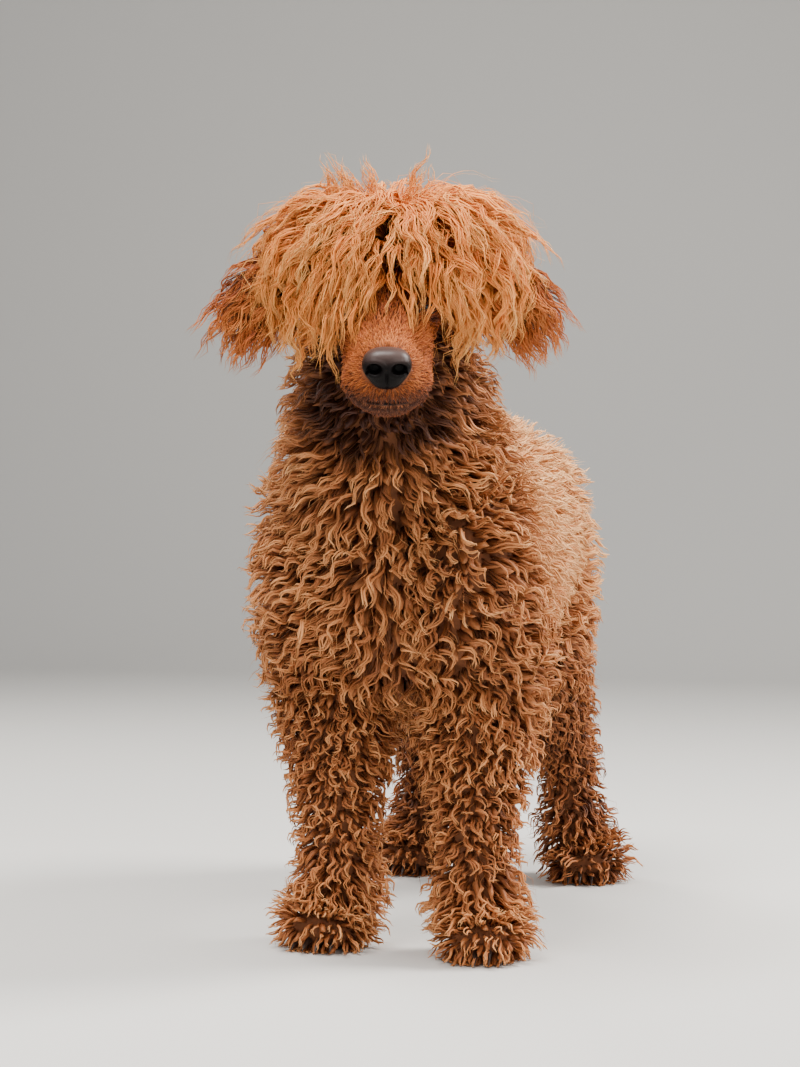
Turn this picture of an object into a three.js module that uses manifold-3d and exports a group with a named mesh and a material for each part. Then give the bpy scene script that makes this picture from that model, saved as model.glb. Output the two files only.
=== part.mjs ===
// Standard poodle standing in a shaggy, unclipped apricot coat: a still, life-size model.
// Millimetres, +Z up. The dog faces -Y, its own left side is +X, and its head is turned to its left.

import * as THREE from "three";
import { mergeVertices } from "three/addons/utils/BufferGeometryUtils.js";
import Module from "manifold-3d";

const wasm = await Module();
wasm.setup();

// Gap between neighbouring solids and round the ears, the grid of corners, how close corners merge,
// and the seed of random draws
const GAP = 0.4;
const EAR_GAP = 1;
const GRID = 0.01;
const MERGE = 1e-3;
const SEED = 41;

// Where the legs stand
const FORE_STANCE = 70;
const HIND_STANCE = 88;
const STRIDE = 488;
const FORE_STAGGER = 13;
const HIND_STAGGER = 9;
const TOE_OUT = THREE.MathUtils.degToRad(9);

// Skin of the body, section by section: centre, half width, other half size, depth of coat
const TRUNK = [
  { at: [0, -98, 396], wide: 30, deep: 30, coat: 44 },
  { at: [0, -66, 392], wide: 68, deep: 74, coat: 44 },
  { at: [0, 0, 380], wide: 95, deep: 112, coat: 44 },
  { at: [0, 100, 377], wide: 99, deep: 116, coat: 44 },
  { at: [0, 220, 394], wide: 96, deep: 107, coat: 44 },
  { at: [0, 330, 411], wide: 96, deep: 95, coat: 44 },
  { at: [0, 400, 416], wide: 87, deep: 84, coat: 42 },
  { at: [0, 432, 410], wide: 34, deep: 34, coat: 40 },
];
const NECK = [
  { at: [0, 14, 400], wide: 70, deep: 78, coat: 44 },
  { at: [0, -30, 456], wide: 90, deep: 84, coat: 46 },
  { at: [1, -66, 512], wide: 70, deep: 70, coat: 46 },
  { at: [5, -98, 566], wide: 60, deep: 58, coat: 44 },
  { at: [14, -128, 606], wide: 44, deep: 46, coat: 40 },
];
const FORELEG = [
  { at: [62, -44, 434], wide: 46, deep: 46, coat: 40 },
  { at: [68, -38, 366], wide: 50, deep: 52, coat: 38 },
  { at: [75, 0, 290], wide: 50, deep: 44, coat: 34 },
  { at: [73, 6, 215], wide: 39, deep: 34, coat: 30 },
  { at: [FORE_STANCE + 2, 0, 130], wide: 25, deep: 25, coat: 26 },
  { at: [FORE_STANCE + 3, 0, 60], wide: 22, deep: 22, coat: 26 },
  { at: [FORE_STANCE + 5, -3, 32], wide: 24, deep: 22, coat: 24 },
];
const HINDLEG = [
  { at: [46, 380, 448], wide: 46, deep: 52, coat: 36 },
  { at: [58, 366, 380], wide: 48, deep: 72, coat: 35 },
  { at: [66, 366, 306], wide: 43, deep: 62, coat: 33 },
  { at: [74, 410, 226], wide: 29, deep: 38, coat: 28 },
  { at: [84, 464, 164], wide: 19, deep: 26, coat: 25 },
  { at: [HIND_STANCE - 2, STRIDE - 1, 130], wide: 17, deep: 22, coat: 25 },
  { at: [HIND_STANCE + 2, STRIDE - 2, 70], wide: 18, deep: 19, coat: 26 },
  { at: [HIND_STANCE + 9, STRIDE - 4, 32], wide: 21, deep: 22, coat: 24 },
];
const PAW = [
  { at: [0, 20, 26], wide: 20, deep: 20, coat: 24 },
  { at: [0, -6, 21], wide: 33, deep: 22, coat: 24 },
  { at: [0, -34, 17], wide: 29, deep: 16, coat: 24 },
];
const TAIL = [
  { at: [0, 418, 462], wide: 20, deep: 20, coat: 30 },
  { at: [0, 458, 446], wide: 17, deep: 17, coat: 30 },
  { at: [0, 484, 402], wide: 14, deep: 14, coat: 30 },
  { at: [0, 494, 350], wide: 11, deep: 11, coat: 30 },
  { at: [0, 498, 306], wide: 7, deep: 7, coat: 30 },
];
const FORE_FOOT_OUT = 10;
const HIND_FOOT_OUT = 17;
const CLAW = { count: 4, radius: 3.2, length: 18, apart: 13, ahead: -46, high: 9, sides: 4 };
const CLAW_BEND = { droop: 0.35, back: 2 };

// Share of the coat that is solid core, and the clumps of curls against the coat's depth
const CORE_SHARE = 0.45;
const END_ROUND = 0.5;
const SAMPLES = 4;
const NORMAL_STEP = 0.01;
const CLUMP = { spacing: 2.12, search: 13, spread: 1.28, long: 1.08, rise: 0.7, lean: 0.3, varies: 0.14 };
const BODY_SIDES = 12;
const LEG_SIDES = 8;

// Where the head is carried, how far it is turned to the left and how far the muzzle drops
const HEAD_PLACE = [22, -172, 623];
const HEAD_TURN = THREE.MathUtils.degToRad(13);
const HEAD_DROP = THREE.MathUtils.degToRad(15);

// Head in its own frame: origin between the ears, level, facing -Y, with the short fur of the face
const SKULL = [
  { at: [0, 56, 8], wide: 28, deep: 26, coat: 0 },
  { at: [0, 10, 2], wide: 50, deep: 44, coat: 0 },
  { at: [0, -28, -4], wide: 49, deep: 43, coat: 0 },
  { at: [0, -58, -20], wide: 43, deep: 41, coat: 0 },
  { at: [0, -84, -38], wide: 40, deep: 40, coat: 0 },
  { at: [0, -108, -45], wide: 40, deep: 38, coat: 0 },
  { at: [0, -126, -50], wide: 30, deep: 30, coat: 0 },
];
const HEAD_SIDES = 16;
const NOSE = { at: [0, -130, -34], half: [21.5, 15, 18], sides: 14 };
const NOSTRIL = { across: 10.5, ahead: -143, high: -32, half: [5, 7, 4], sides: 8 };
const PHILTRUM = { half: 0.9, deep: 3 };
const EYE = { at: [33, -56, 4], radius: 10.5, sides: 12 };
const LIDS = { radius: 13.6, half: 9.5, tall: 5.5, turn: THREE.MathUtils.degToRad(24) };
const MOUTH = { corner: -78, front: -135, half: 36, high: -62, rise: 5, steps: 10 };
const LIPS = { radius: 4, round: 3, slit: 1.4, depth: 6 };

// Mop of long hair: its core, rows of locks from the crown outward, and tufts that stand up
const MOP_CORE = { at: [0, 22, 28], half: [96, 84, 58], sides: 10 };
const MOP_ROWS = [
  { tilt: 26, count: 5, rise: 34, out: 58, fall: 30 },
  { tilt: 54, count: 8, rise: 48, out: 36, fall: 70 },
  { tilt: 80, count: 9, rise: 50, out: 12, fall: 94 },
  { tilt: 104, count: 8, rise: 30, out: 6, fall: 68 },
];
const MOP_TUFTS = [
  { x: -34, y: 6, lean: -24, tall: 58 },
  { x: -10, y: 14, lean: -8, tall: 54 },
  { x: 18, y: 4, lean: 20, tall: 64 },
];
const LOCK = { wide: 46, thick: 15, sides: 3, rings: 3, sink: 14 };
const LOCK_BEND = { wave: 6, bends: 5, taper: 0.6, upward: 0.4 };
const LOCK_VARIES = { turn: 0.12, tilt: THREE.MathUtils.degToRad(4), short: 0.9, long: 1.12 };
const TUFT = { wide: 23, knee: 0.6, tip: 0.5 };
const FRINGE_SHORT = { share: 0.6, narrow: 8 };

// Drop ear: its flap from the side of the skull, the hollow of its inner face, its fringe of locks
const EAR = [
  { at: [44, 18, 8], wide: 20, deep: 8, coat: 0 },
  { at: [84, 20, 14], wide: 30, deep: 9, coat: 0 },
  { at: [118, 18, 0], wide: 34, deep: 9, coat: 0 },
  { at: [138, 16, -26], wide: 24, deep: 7, coat: 0 },
];
const EAR_CUP = { at: [104, 18, -12], half: [40, 24, 14], sides: 10 };
const EAR_FRINGE = { count: 4, from: -2, to: -96, length: 41, wide: 24, thick: 11, apart: 26 };
const EAR_ROOTS = { rim: 0.72, layers: [-0.5, 0.5], varies: 8, high: 6, step: 12 };
const EAR_FALL = { spread: 0.5, knee: 0.6, tip: 0.5, drop: 0.25, ridge: 0.3 };

// Part lines between the torso and its neighbours
const NECK_PART = { at: [0, -52, 478], tilt: THREE.MathUtils.degToRad(42) };
const FORELEG_PART = 228;
const HINDLEG_PART = 258;
const HINDLEG_FRONT = 262;
const TAIL_PART = 452;
const TAIL_HALF = 50;
const MIDLINE_HALF = 6;
const REACH = 700;

const SIDES = [
  { side: "left", sign: 1 },
  { side: "right", sign: -1 },
];
const ACROSS = new THREE.Vector3(1, 0, 0);
const UP = new THREE.Vector3(0, 0, 1);
const DOWN_THE_LEG = new THREE.Vector3(0, 0.25, -1).normalize();
const DOWN_THE_NECK = new THREE.Vector3(0, -0.25, -1).normalize();
const ALONG_THE_BACK = new THREE.Vector3(0, 1, -0.5).normalize();

THREE.MathUtils.seededRandom(SEED);
const draw = (low, high) => THREE.MathUtils.lerp(low, high, THREE.MathUtils.seededRandom());
const vary = (value) => value * draw(1 - CLUMP.varies, 1 + CLUMP.varies);
const union = (solids) => wasm.Manifold.union(solids);

// A closed solid from a geometry whose faces point out.
function solidOf(geometry) {
  geometry.deleteAttribute("normal");
  geometry.deleteAttribute("uv");
  const merged = mergeVertices(geometry, MERGE);
  return new wasm.Manifold(
    new wasm.Mesh({
      numProp: 3,
      vertProperties: merged.getAttribute("position").array,
      triVerts: new Uint32Array(merged.index.array),
    }),
  );
}

// The largest closed surface of a solid.
function largest(solid) {
  const bodies = solid.decompose();
  return bodies.reduce((best, body) => (body.volume() > best.volume() ? body : best));
}

// The surface of a solid as a geometry.
function geometryOf(solid) {
  const mesh = solid.getMesh();
  const geometry = new THREE.BufferGeometry();
  geometry.setAttribute("position", new THREE.BufferAttribute(mesh.vertProperties, 3));
  return geometry.setIndex(new THREE.BufferAttribute(mesh.triVerts, 1));
}

// The largest closed surface of a solid, moved, with its corners on the grid.
function onGrid(solid, shift) {
  const geometry = geometryOf(largest(solid)).translate(shift.x, shift.y, shift.z);
  const corners = geometry.getAttribute("position").array;
  for (let i = 0; i < corners.length; i += 1) corners[i] = Math.round(corners[i] / GRID) * GRID;
  return largest(solidOf(geometry));
}

function ellipsoid(at, half, sides, grow) {
  const geometry = new THREE.SphereGeometry(1, sides, Math.round(sides / 2));
  geometry.scale(half[0] + grow, half[1] + grow, half[2] + grow);
  geometry.translate(...at);
  return solidOf(geometry);
}

// A box between two corners.
function box(low, high) {
  const size = high.map((value, i) => value - low[i]);
  const centre = high.map((value, i) => (value + low[i]) / 2);
  return solidOf(new THREE.BoxGeometry(...size).translate(...centre));
}

// A smooth form along a path of sections, closed by a pole at each end. Widths lie along the given axis.
class Form {
  constructor(sections, sides, fine = 1, widthAxis = ACROSS) {
    const centres = sections.map(({ at }) => new THREE.Vector3(...at));
    const sizes = sections.map(({ wide, deep, coat }) => new THREE.Vector3(wide, deep, coat));
    this.path = new THREE.CatmullRomCurve3(centres);
    this.sizes = new THREE.CatmullRomCurve3(sizes);
    this.sides = sides;
    this.widthAxis = widthAxis;
    this.rings = fine * (sections.length - 1) + 2;
    const steps = SAMPLES * sections.length;
    this.frames = Array.from({ length: steps + 1 }, (_, i) => this.frame(i / steps));
  }

  // The centre, axes, half sizes and solid core of the section at a share t of the path.
  frame(t) {
    const along = this.path.getTangent(t);
    const side = this.widthAxis.clone().projectOnPlane(along).normalize();
    const front = new THREE.Vector3().crossVectors(side, along);
    const size = this.sizes.getPoint(t);
    return { centre: this.path.getPoint(t), along, side, front, size, core: size.z * CORE_SHARE };
  }

  // The point of the core's surface at a share t of the path and an angle round it.
  point(t, angle, grow) {
    const { centre, side, front, size, core } = this.frame(t);
    return centre
      .addScaledVector(side, (size.x + core + grow) * Math.cos(angle))
      .addScaledVector(front, (size.y + core + grow) * Math.sin(angle));
  }

  // The direction out of the surface there.
  normal(t, angle) {
    const step = NORMAL_STEP;
    const ahead = this.point(Math.min(t + step, 1), angle, 0);
    const along = ahead.sub(this.point(Math.max(t - step, 0), angle, 0));
    const round = this.point(t, angle + step, 0).sub(this.point(t, angle - step, 0));
    return round.cross(along).normalize();
  }

  // The pole past an end of the path.
  pole(end, grow) {
    const { centre, along, size, core } = this.frame(end);
    const reach = END_ROUND * Math.min(size.x, size.y) + core + grow;
    return centre.addScaledVector(along, (end * 2 - 1) * reach);
  }

  // Whether a point lies within the core.
  holds(point) {
    return this.frames.some(({ centre, along, side, front, size, core }) => {
      const offset = point.clone().sub(centre);
      const across = offset.dot(side) / (size.x + core);
      const deep = offset.dot(front) / (size.y + core);
      return Math.abs(offset.dot(along)) < END_ROUND * size.x && across * across + deep * deep < 1;
    });
  }

  solid(grow) {
    const geometry = new THREE.SphereGeometry(1, this.sides, this.rings);
    const position = geometry.getAttribute("position");
    for (let i = 0; i < position.count; i += 1) {
      const round = Math.hypot(position.getX(i), position.getZ(i));
      const angle = Math.atan2(position.getZ(i), -position.getX(i));
      const share = Math.acos(THREE.MathUtils.clamp(position.getY(i), -1, 1)) / Math.PI;
      const t = THREE.MathUtils.clamp((share * this.rings - 1) / (this.rings - 2), 0, 1);
      const placed = round < 1e-6 ? this.pole(t, grow) : this.point(t, angle, grow);
      position.setXYZ(i, placed.x, placed.y, placed.z);
    }
    return solidOf(geometry);
  }
}

// A rounded clump of curls that sits on the core and leans along the lie of the coat.
function clump(base, normal, lie, coat) {
  const along = lie.clone().projectOnPlane(normal).normalize();
  const across = new THREE.Vector3().crossVectors(normal, along);
  const spin = draw(0, Math.PI);
  const spread = vary(coat * CLUMP.spread);
  const rise = vary(coat * CLUMP.rise);
  return (grow) => {
    const geometry = new THREE.IcosahedronGeometry(1, 0).rotateZ(spin);
    const position = geometry.getAttribute("position");
    for (let i = 0; i < position.count; i += 1) {
      const high = position.getZ(i) * (rise + grow);
      const lean = CLUMP.lean * Math.max(high, 0);
      const placed = base
        .clone()
        .addScaledVector(along, position.getX(i) * (spread * CLUMP.long + grow) + lean)
        .addScaledVector(across, position.getY(i) * (spread + grow))
        .addScaledVector(normal, high);
      position.setXYZ(i, placed.x, placed.y, placed.z);
    }
    return solidOf(geometry);
  };
}

// Places for clumps, set evenly over the outside of the cores of all the parts.
function placesOn(parts) {
  const places = [];
  const offer = (part, base, normal, coat) => {
    if (places.some((place) => place.base.distanceTo(base) < coat * CLUMP.spacing)) return;
    if (parts.some((other) => other !== part && other.form.holds(base))) return;
    places.push({ part, base, normal, coat });
  };
  for (const part of parts) {
    const { form } = part;
    const rings = Math.ceil(form.path.getLength() / CLUMP.search);
    for (let ring = 0; ring <= rings; ring += 1) {
      const t = form.path.getUtoTmapping(ring / rings);
      const { size, core } = form.frame(t);
      const girth = 2 * Math.PI * Math.hypot(size.x + core, size.y + core) * Math.SQRT1_2;
      const count = Math.ceil(girth / CLUMP.search);
      for (let i = 0; i < count; i += 1) {
        const angle = ((i + draw(0, 1)) / count) * 2 * Math.PI;
        offer(part, form.point(t, angle, 0), form.normal(t, angle), size.z);
      }
    }
    for (const end of [0, 1]) {
      const { along, size } = form.frame(end);
      offer(part, form.pole(end, 0), along.multiplyScalar(end * 2 - 1), size.z);
    }
  }
  return places;
}

// A flat lock of hair that tapers and bends along a curve, its ridge facing outward.
function lock(curve, outward, wide, thick) {
  const phase = draw(0, 2 * Math.PI);
  return (grow) => {
    const geometry = new THREE.ConeGeometry(1, 1, LOCK.sides, LOCK.rings);
    const position = geometry.getAttribute("position");
    for (let i = 0; i < position.count; i += 1) {
      const t = THREE.MathUtils.clamp(position.getY(i) + 0.5, 0, 1);
      const round = Math.max(1 - t, 1e-6);
      const taper = Math.pow(1 - t, LOCK_BEND.taper);
      const along = curve.getTangent(t);
      const across = new THREE.Vector3().crossVectors(along, outward).normalize();
      const ridge = new THREE.Vector3().crossVectors(across, along);
      const sway = LOCK_BEND.wave * t * Math.sin(phase + LOCK_BEND.bends * t);
      const placed = curve
        .getPoint(t)
        .addScaledVector(along, (2 * t - 1) * grow)
        .addScaledVector(across, (position.getX(i) / round) * (wide * taper + grow) + sway)
        .addScaledVector(ridge, (position.getZ(i) / round) * (thick * taper + grow));
      position.setXYZ(i, placed.x, placed.y, placed.z);
    }
    return solidOf(geometry);
  };
}

// Sections set on one side of the body, moved and turned about the upright axis.
function onSide(sections, sign, x = 0, y = 0, turn = 0) {
  return sections.map((section) => {
    const at = new THREE.Vector3(...section.at).applyAxisAngle(UP, turn);
    return { ...section, at: [sign * (at.x + x), at.y + y, at.z] };
  });
}

// The claws of one foot, ahead of its toes and pointing down a little.
function clawsOf(sign, x, y) {
  return Array.from({ length: CLAW.count }, (_, i) => {
    const share = i - (CLAW.count - 1) / 2;
    const ahead = CLAW.ahead + CLAW_BEND.back * share * share;
    const at = new THREE.Vector3(share * CLAW.apart, ahead, CLAW.high);
    at.applyAxisAngle(UP, TOE_OUT);
    const geometry = new THREE.ConeGeometry(CLAW.radius, CLAW.length, CLAW.sides);
    geometry.rotateX(Math.PI / 2 + CLAW_BEND.droop).rotateZ(Math.PI + sign * TOE_OUT);
    geometry.translate(sign * (at.x + x), at.y + y, at.z);
    return solidOf(geometry);
  });
}

// Body: forms, their coat and the claws
const body = [
  { form: new Form(TRUNK, BODY_SIDES), lie: ALONG_THE_BACK },
  { form: new Form(TAIL, LEG_SIDES), lie: DOWN_THE_LEG },
];
const claws = [];
for (const { sign } of SIDES) {
  const fore = -sign * FORE_STAGGER;
  const hind = -sign * HIND_STAGGER;
  const forePaw = onSide(PAW, sign, FORE_STANCE + FORE_FOOT_OUT, fore, TOE_OUT);
  const hindPaw = onSide(PAW, sign, HIND_STANCE + HIND_FOOT_OUT, STRIDE + hind, TOE_OUT);
  body.push({ form: new Form(onSide(FORELEG, sign, 0, fore), LEG_SIDES), lie: DOWN_THE_LEG });
  body.push({ form: new Form(onSide(HINDLEG, sign, 0, hind), LEG_SIDES), lie: DOWN_THE_LEG });
  for (const paw of [forePaw, hindPaw]) body.push({ form: new Form(paw, LEG_SIDES), lie: DOWN_THE_LEG });
  claws.push(...clawsOf(sign, FORE_STANCE + FORE_FOOT_OUT, fore));
  claws.push(...clawsOf(sign, HIND_STANCE + HIND_FOOT_OUT, STRIDE + hind));
}
const neck = { form: new Form(NECK, BODY_SIDES), lie: DOWN_THE_NECK };
const clumps = placesOn([...body, neck]).map(({ part, base, normal, coat }) => {
  return { part, make: clump(base, normal, part.lie, coat) };
});
const neckClumps = clumps.filter(({ part }) => part === neck);
const neckWhole = (grow) => union([neck.form.solid(grow), ...neckClumps.map(({ make }) => make(grow))]);
const whole = union([
  ...body.map(({ form }) => form.solid(0)),
  ...clumps.map(({ make }) => make(0)),
  ...claws,
  neck.form.solid(0),
]).intersect(box([-REACH, -REACH, 0], [REACH, REACH, REACH]));

// The space above the neck's part line, as a large tilted block.
function aboveNeckPart(grow) {
  const geometry = new THREE.BoxGeometry(REACH, REACH, REACH);
  geometry.translate(0, 0, REACH / 2 - grow);
  geometry.rotateX(NECK_PART.tilt);
  geometry.translate(...NECK_PART.at);
  return solidOf(geometry);
}

// The block that holds a leg below its part line, on one side of the midline.
function legBlock(sign, front, back, top, grow) {
  const across = [sign * (MIDLINE_HALF - grow), sign * REACH].sort((a, b) => a - b);
  return box([across[0], front - grow, -REACH], [across[1], back, top + grow]);
}

const regions = {
  tail: (grow) => {
    const half = TAIL_HALF + grow;
    return box([-half, TAIL_PART - grow, HINDLEG_PART], [half, REACH, REACH]);
  },
};
for (const { side, sign } of SIDES) {
  regions[`foreleg_${side}`] = (grow) => legBlock(sign, -REACH, HINDLEG_FRONT / 2, FORELEG_PART, grow);
  regions[`hindleg_${side}`] = (grow) => legBlock(sign, HINDLEG_FRONT, REACH, HINDLEG_PART, grow);
}

// Head: skull and muzzle with lids, lips and mouth, then the mop
const headMatrix = new THREE.Matrix4()
  .makeTranslation(...HEAD_PLACE)
  .multiply(new THREE.Matrix4().makeRotationZ(HEAD_TURN))
  .multiply(new THREE.Matrix4().makeRotationX(HEAD_DROP));
const inPlace = (solid) => solid.transform(headMatrix.toArray());
const skull = new Form(SKULL, HEAD_SIDES, 2);
const mopCore = (grow) => ellipsoid(MOP_CORE.at, MOP_CORE.half, MOP_CORE.sides, grow);
const eyeAt = (sign) => [sign * EYE.at[0], EYE.at[1], EYE.at[2]];
const eyeball = (sign, radius) => ellipsoid(eyeAt(sign), [radius, radius, radius], EYE.sides, 0);

// The opening between the lids of one eye: an almond pushed out along the gaze.
function lidOpening(sign) {
  const almond = new THREE.Shape();
  almond.moveTo(-LIDS.half, 0);
  almond.quadraticCurveTo(0, -2 * LIDS.tall, LIDS.half, 0);
  almond.quadraticCurveTo(0, 2 * LIDS.tall, -LIDS.half, 0);
  const options = { depth: 2 * LIDS.radius, bevelEnabled: false, curveSegments: 3 };
  const geometry = new THREE.ExtrudeGeometry(almond, options);
  geometry.rotateX(Math.PI / 2).rotateZ(sign * LIDS.turn).translate(...eyeAt(sign));
  return solidOf(geometry);
}

// A section swept along the line of the lips, round the front of the muzzle.
function alongLips(section) {
  const points = Array.from({ length: MOUTH.steps + 1 }, (_, i) => {
    const angle = (Math.PI * i) / MOUTH.steps;
    const x = MOUTH.half * Math.cos(angle);
    const y = MOUTH.corner + (MOUTH.front - MOUTH.corner) * Math.sin(angle);
    return new THREE.Vector3(x, y, MOUTH.high + MOUTH.rise * Math.cos(angle) ** 2);
  });
  const extrudePath = new THREE.CatmullRomCurve3(points);
  const options = { steps: MOUTH.steps, curveSegments: LIPS.round, extrudePath, bevelEnabled: false };
  return solidOf(new THREE.ExtrudeGeometry(section, options));
}

const lipSection = new THREE.Shape().absarc(0, 0, LIPS.radius, 0, 2 * Math.PI);
const slitSection = new THREE.Shape([
  new THREE.Vector2(-LIPS.slit, -LIPS.depth),
  new THREE.Vector2(LIPS.slit, -LIPS.depth),
  new THREE.Vector2(LIPS.slit, LIPS.depth),
  new THREE.Vector2(-LIPS.slit, LIPS.depth),
]);

// The locks of the mop in rows from the crown outward, shorter over the face, and the standing tufts.
function mopLocks() {
  const makers = [];
  const centre = new THREE.Vector3(...MOP_CORE.at);
  const half = new THREE.Vector3(...MOP_CORE.half);
  for (const [row, { tilt, count, rise, out, fall }] of MOP_ROWS.entries()) {
    for (let i = 0; i < count; i += 1) {
      const place = i + 0.5 + (row % 2) / 2 + draw(-LOCK_VARIES.turn, LOCK_VARIES.turn);
      const azimuth = (place / count) * 2 * Math.PI;
      const polar = THREE.MathUtils.degToRad(tilt) + draw(-LOCK_VARIES.tilt, LOCK_VARIES.tilt);
      const outward = new THREE.Vector3(Math.sin(azimuth), -Math.cos(azimuth), 0);
      const facing = outward.clone().multiplyScalar(Math.sin(polar)).addScaledVector(UP, Math.cos(polar));
      const root = half.clone().multiply(facing).add(centre);
      const front = Math.pow(Math.max(0, Math.cos(azimuth)), FRINGE_SHORT.narrow);
      const size = draw(LOCK_VARIES.short, LOCK_VARIES.long);
      const hang = size * (1 - FRINGE_SHORT.share * front);
      const knee = root.clone().addScaledVector(facing, rise * size);
      const tip = knee.clone().addScaledVector(outward, out * hang).addScaledVector(UP, -fall * hang);
      const sunk = root.clone().addScaledVector(facing, -LOCK.sink);
      const curve = new THREE.QuadraticBezierCurve3(sunk, knee, tip);
      const ridge = facing.clone().addScaledVector(UP, LOCK_BEND.upward).normalize();
      makers.push(lock(curve, ridge, vary(LOCK.wide), LOCK.thick));
    }
  }
  for (const { x, y, lean, tall } of MOP_TUFTS) {
    const sunk = new THREE.Vector3(x, y, centre.z + half.z - LOCK.sink);
    const knee = sunk.clone().addScaledVector(UP, tall * TUFT.knee);
    const tip = knee.clone().add(new THREE.Vector3(lean, 0, tall * TUFT.tip));
    const curve = new THREE.QuadraticBezierCurve3(sunk, knee, tip);
    makers.push(lock(curve, new THREE.Vector3(0, -1, 0), TUFT.wide, LOCK.thick));
  }
  return makers;
}

// One ear: the flap, hollowed on its inner face, and a fan of locks from its rim.
function earOf(sign) {
  const flap = new Form(onSide(EAR, sign), LEG_SIDES, 1, UP);
  const makers = [];
  const rim = flap.frame(EAR_ROOTS.rim).centre;
  for (const layer of EAR_ROOTS.layers) {
    for (let i = 0; i < EAR_FRINGE.count; i += 1) {
      const share = i / (EAR_FRINGE.count - 1);
      const spread = THREE.MathUtils.lerp(EAR_FRINGE.from, EAR_FRINGE.to, share);
      const turn = spread + draw(-EAR_ROOTS.varies, EAR_ROOTS.varies);
      const angle = THREE.MathUtils.degToRad(turn);
      const flow = new THREE.Vector3(sign * Math.cos(angle), layer * EAR_FALL.spread, Math.sin(angle));
      const high = EAR_ROOTS.high - EAR_ROOTS.step * share;
      const start = rim.clone().add(new THREE.Vector3(0, layer * EAR_FRINGE.apart, high));
      const length = vary(EAR_FRINGE.length);
      const knee = start.clone().addScaledVector(flow, length * EAR_FALL.knee);
      const fallen = knee.clone().addScaledVector(UP, -EAR_FALL.drop * length);
      const tip = fallen.addScaledVector(flow, length * EAR_FALL.tip);
      const curve = new THREE.QuadraticBezierCurve3(start, knee, tip);
      const ridge = new THREE.Vector3(0, Math.sign(layer), EAR_FALL.ridge).normalize();
      makers.push(lock(curve, ridge, EAR_FRINGE.wide, EAR_FRINGE.thick));
    }
  }
  const cup = ellipsoid([sign * EAR_CUP.at[0], EAR_CUP.at[1], EAR_CUP.at[2]], EAR_CUP.half, EAR_CUP.sides, 0);
  const hollowed = flap.solid(0).subtract(cup);
  return (grow) => {
    const leather = grow > 0 ? flap.solid(grow) : hollowed;
    return union([leather, ...makers.map((make) => make(grow))]);
  };
}

const solids = {};
const headGround = inPlace(union([skull.solid(GAP), mopCore(GAP)]));
const neckGrown = neckWhole(GAP);
let rest = whole.subtract(aboveNeckPart(GAP));
for (const [name, region] of Object.entries(regions)) {
  solids[name] = largest(rest.intersect(region(0)));
  rest = rest.subtract(region(GAP));
}
solids.torso = largest(rest);
solids.neck = largest(whole.intersect(aboveNeckPart(0)).subtract(headGround));

const ears = SIDES.map(({ side, sign }) => ({ side, ear: earOf(sign) }));
for (const { side, ear } of ears) {
  solids[`ear_${side}`] = largest(inPlace(ear(0)).subtract(headGround).subtract(neckGrown));
}

const nostrils = SIDES.map(({ sign }) =>
  ellipsoid([sign * NOSTRIL.across, NOSTRIL.ahead, NOSTRIL.high], NOSTRIL.half, NOSTRIL.sides, 0),
);
const philtrum = box(
  [-PHILTRUM.half, NOSE.at[1] - REACH, NOSE.at[2] - REACH],
  [PHILTRUM.half, NOSE.at[1] - NOSE.half[1] + PHILTRUM.deep, NOSE.at[2]],
);
const nose = (grow) => ellipsoid(NOSE.at, NOSE.half, NOSE.sides, grow);
solids.nose = inPlace(nose(0).subtract(union([...nostrils, philtrum])));
for (const { side, sign } of SIDES) solids[`eye_${side}`] = inPlace(eyeball(sign, EYE.radius));

const sockets = union(SIDES.flatMap(({ sign }) => [lidOpening(sign), eyeball(sign, EYE.radius + GAP)]));
const face = union([skull.solid(0), alongLips(lipSection)])
  .subtract(alongLips(slitSection))
  .add(union(SIDES.map(({ sign }) => eyeball(sign, LIDS.radius))));
const locks = inPlace(union(mopLocks().map((make) => make(0))))
  .subtract(neckGrown)
  .subtract(union(ears.map(({ ear }) => inPlace(ear(EAR_GAP)))));
const openings = inPlace(union([sockets, nose(GAP)]));
solids.head = union([inPlace(union([face, mopCore(0)])), locks]).subtract(openings);

const COLOURS = {
  head: 0xc98a4e,
  nose: 0x1b1614,
  eye_left: 0x1a0f08,
  eye_right: 0x1a0f08,
  ear_left: 0xa95a24,
  ear_right: 0xa95a24,
  neck: 0xb97038,
  torso: 0xb36a35,
  tail: 0xb97038,
  foreleg_left: 0xa8602e,
  foreleg_right: 0xa8602e,
  hindleg_left: 0x9a5528,
  hindleg_right: 0x9a5528,
};
const WET = { nose: 0.35, eye_left: 0.08, eye_right: 0.08 };
const DRY = 0.9;

// The origin is on the floor, under the middle of the whole model
const bounds = new THREE.Box3();
for (const solid of Object.values(solids)) {
  const { min, max } = solid.boundingBox();
  bounds.union(new THREE.Box3(new THREE.Vector3(...min), new THREE.Vector3(...max)));
}
const middle = bounds.getCenter(new THREE.Vector3());
const shift = new THREE.Vector3(-middle.x, -middle.y, -bounds.min.z);

const root = new THREE.Group();
for (const [name, solid] of Object.entries(solids)) {
  const roughness = WET[name] ?? DRY;
  const material = new THREE.MeshStandardMaterial({ color: COLOURS[name], roughness, metalness: 0 });
  const part = new THREE.Mesh(geometryOf(onGrid(solid, shift)), material);
  part.name = name;
  root.add(part);
}

export default root;
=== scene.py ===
"""Standard poodle in a shaggy, unclipped apricot coat: a still, life-size model dressed over its solids."""

import logging
import math
from dataclasses import dataclass, field
from enum import Enum

import bmesh
import bpy
import numpy as np
from mathutils import Matrix, Vector
from mathutils.kdtree import KDTree


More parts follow.
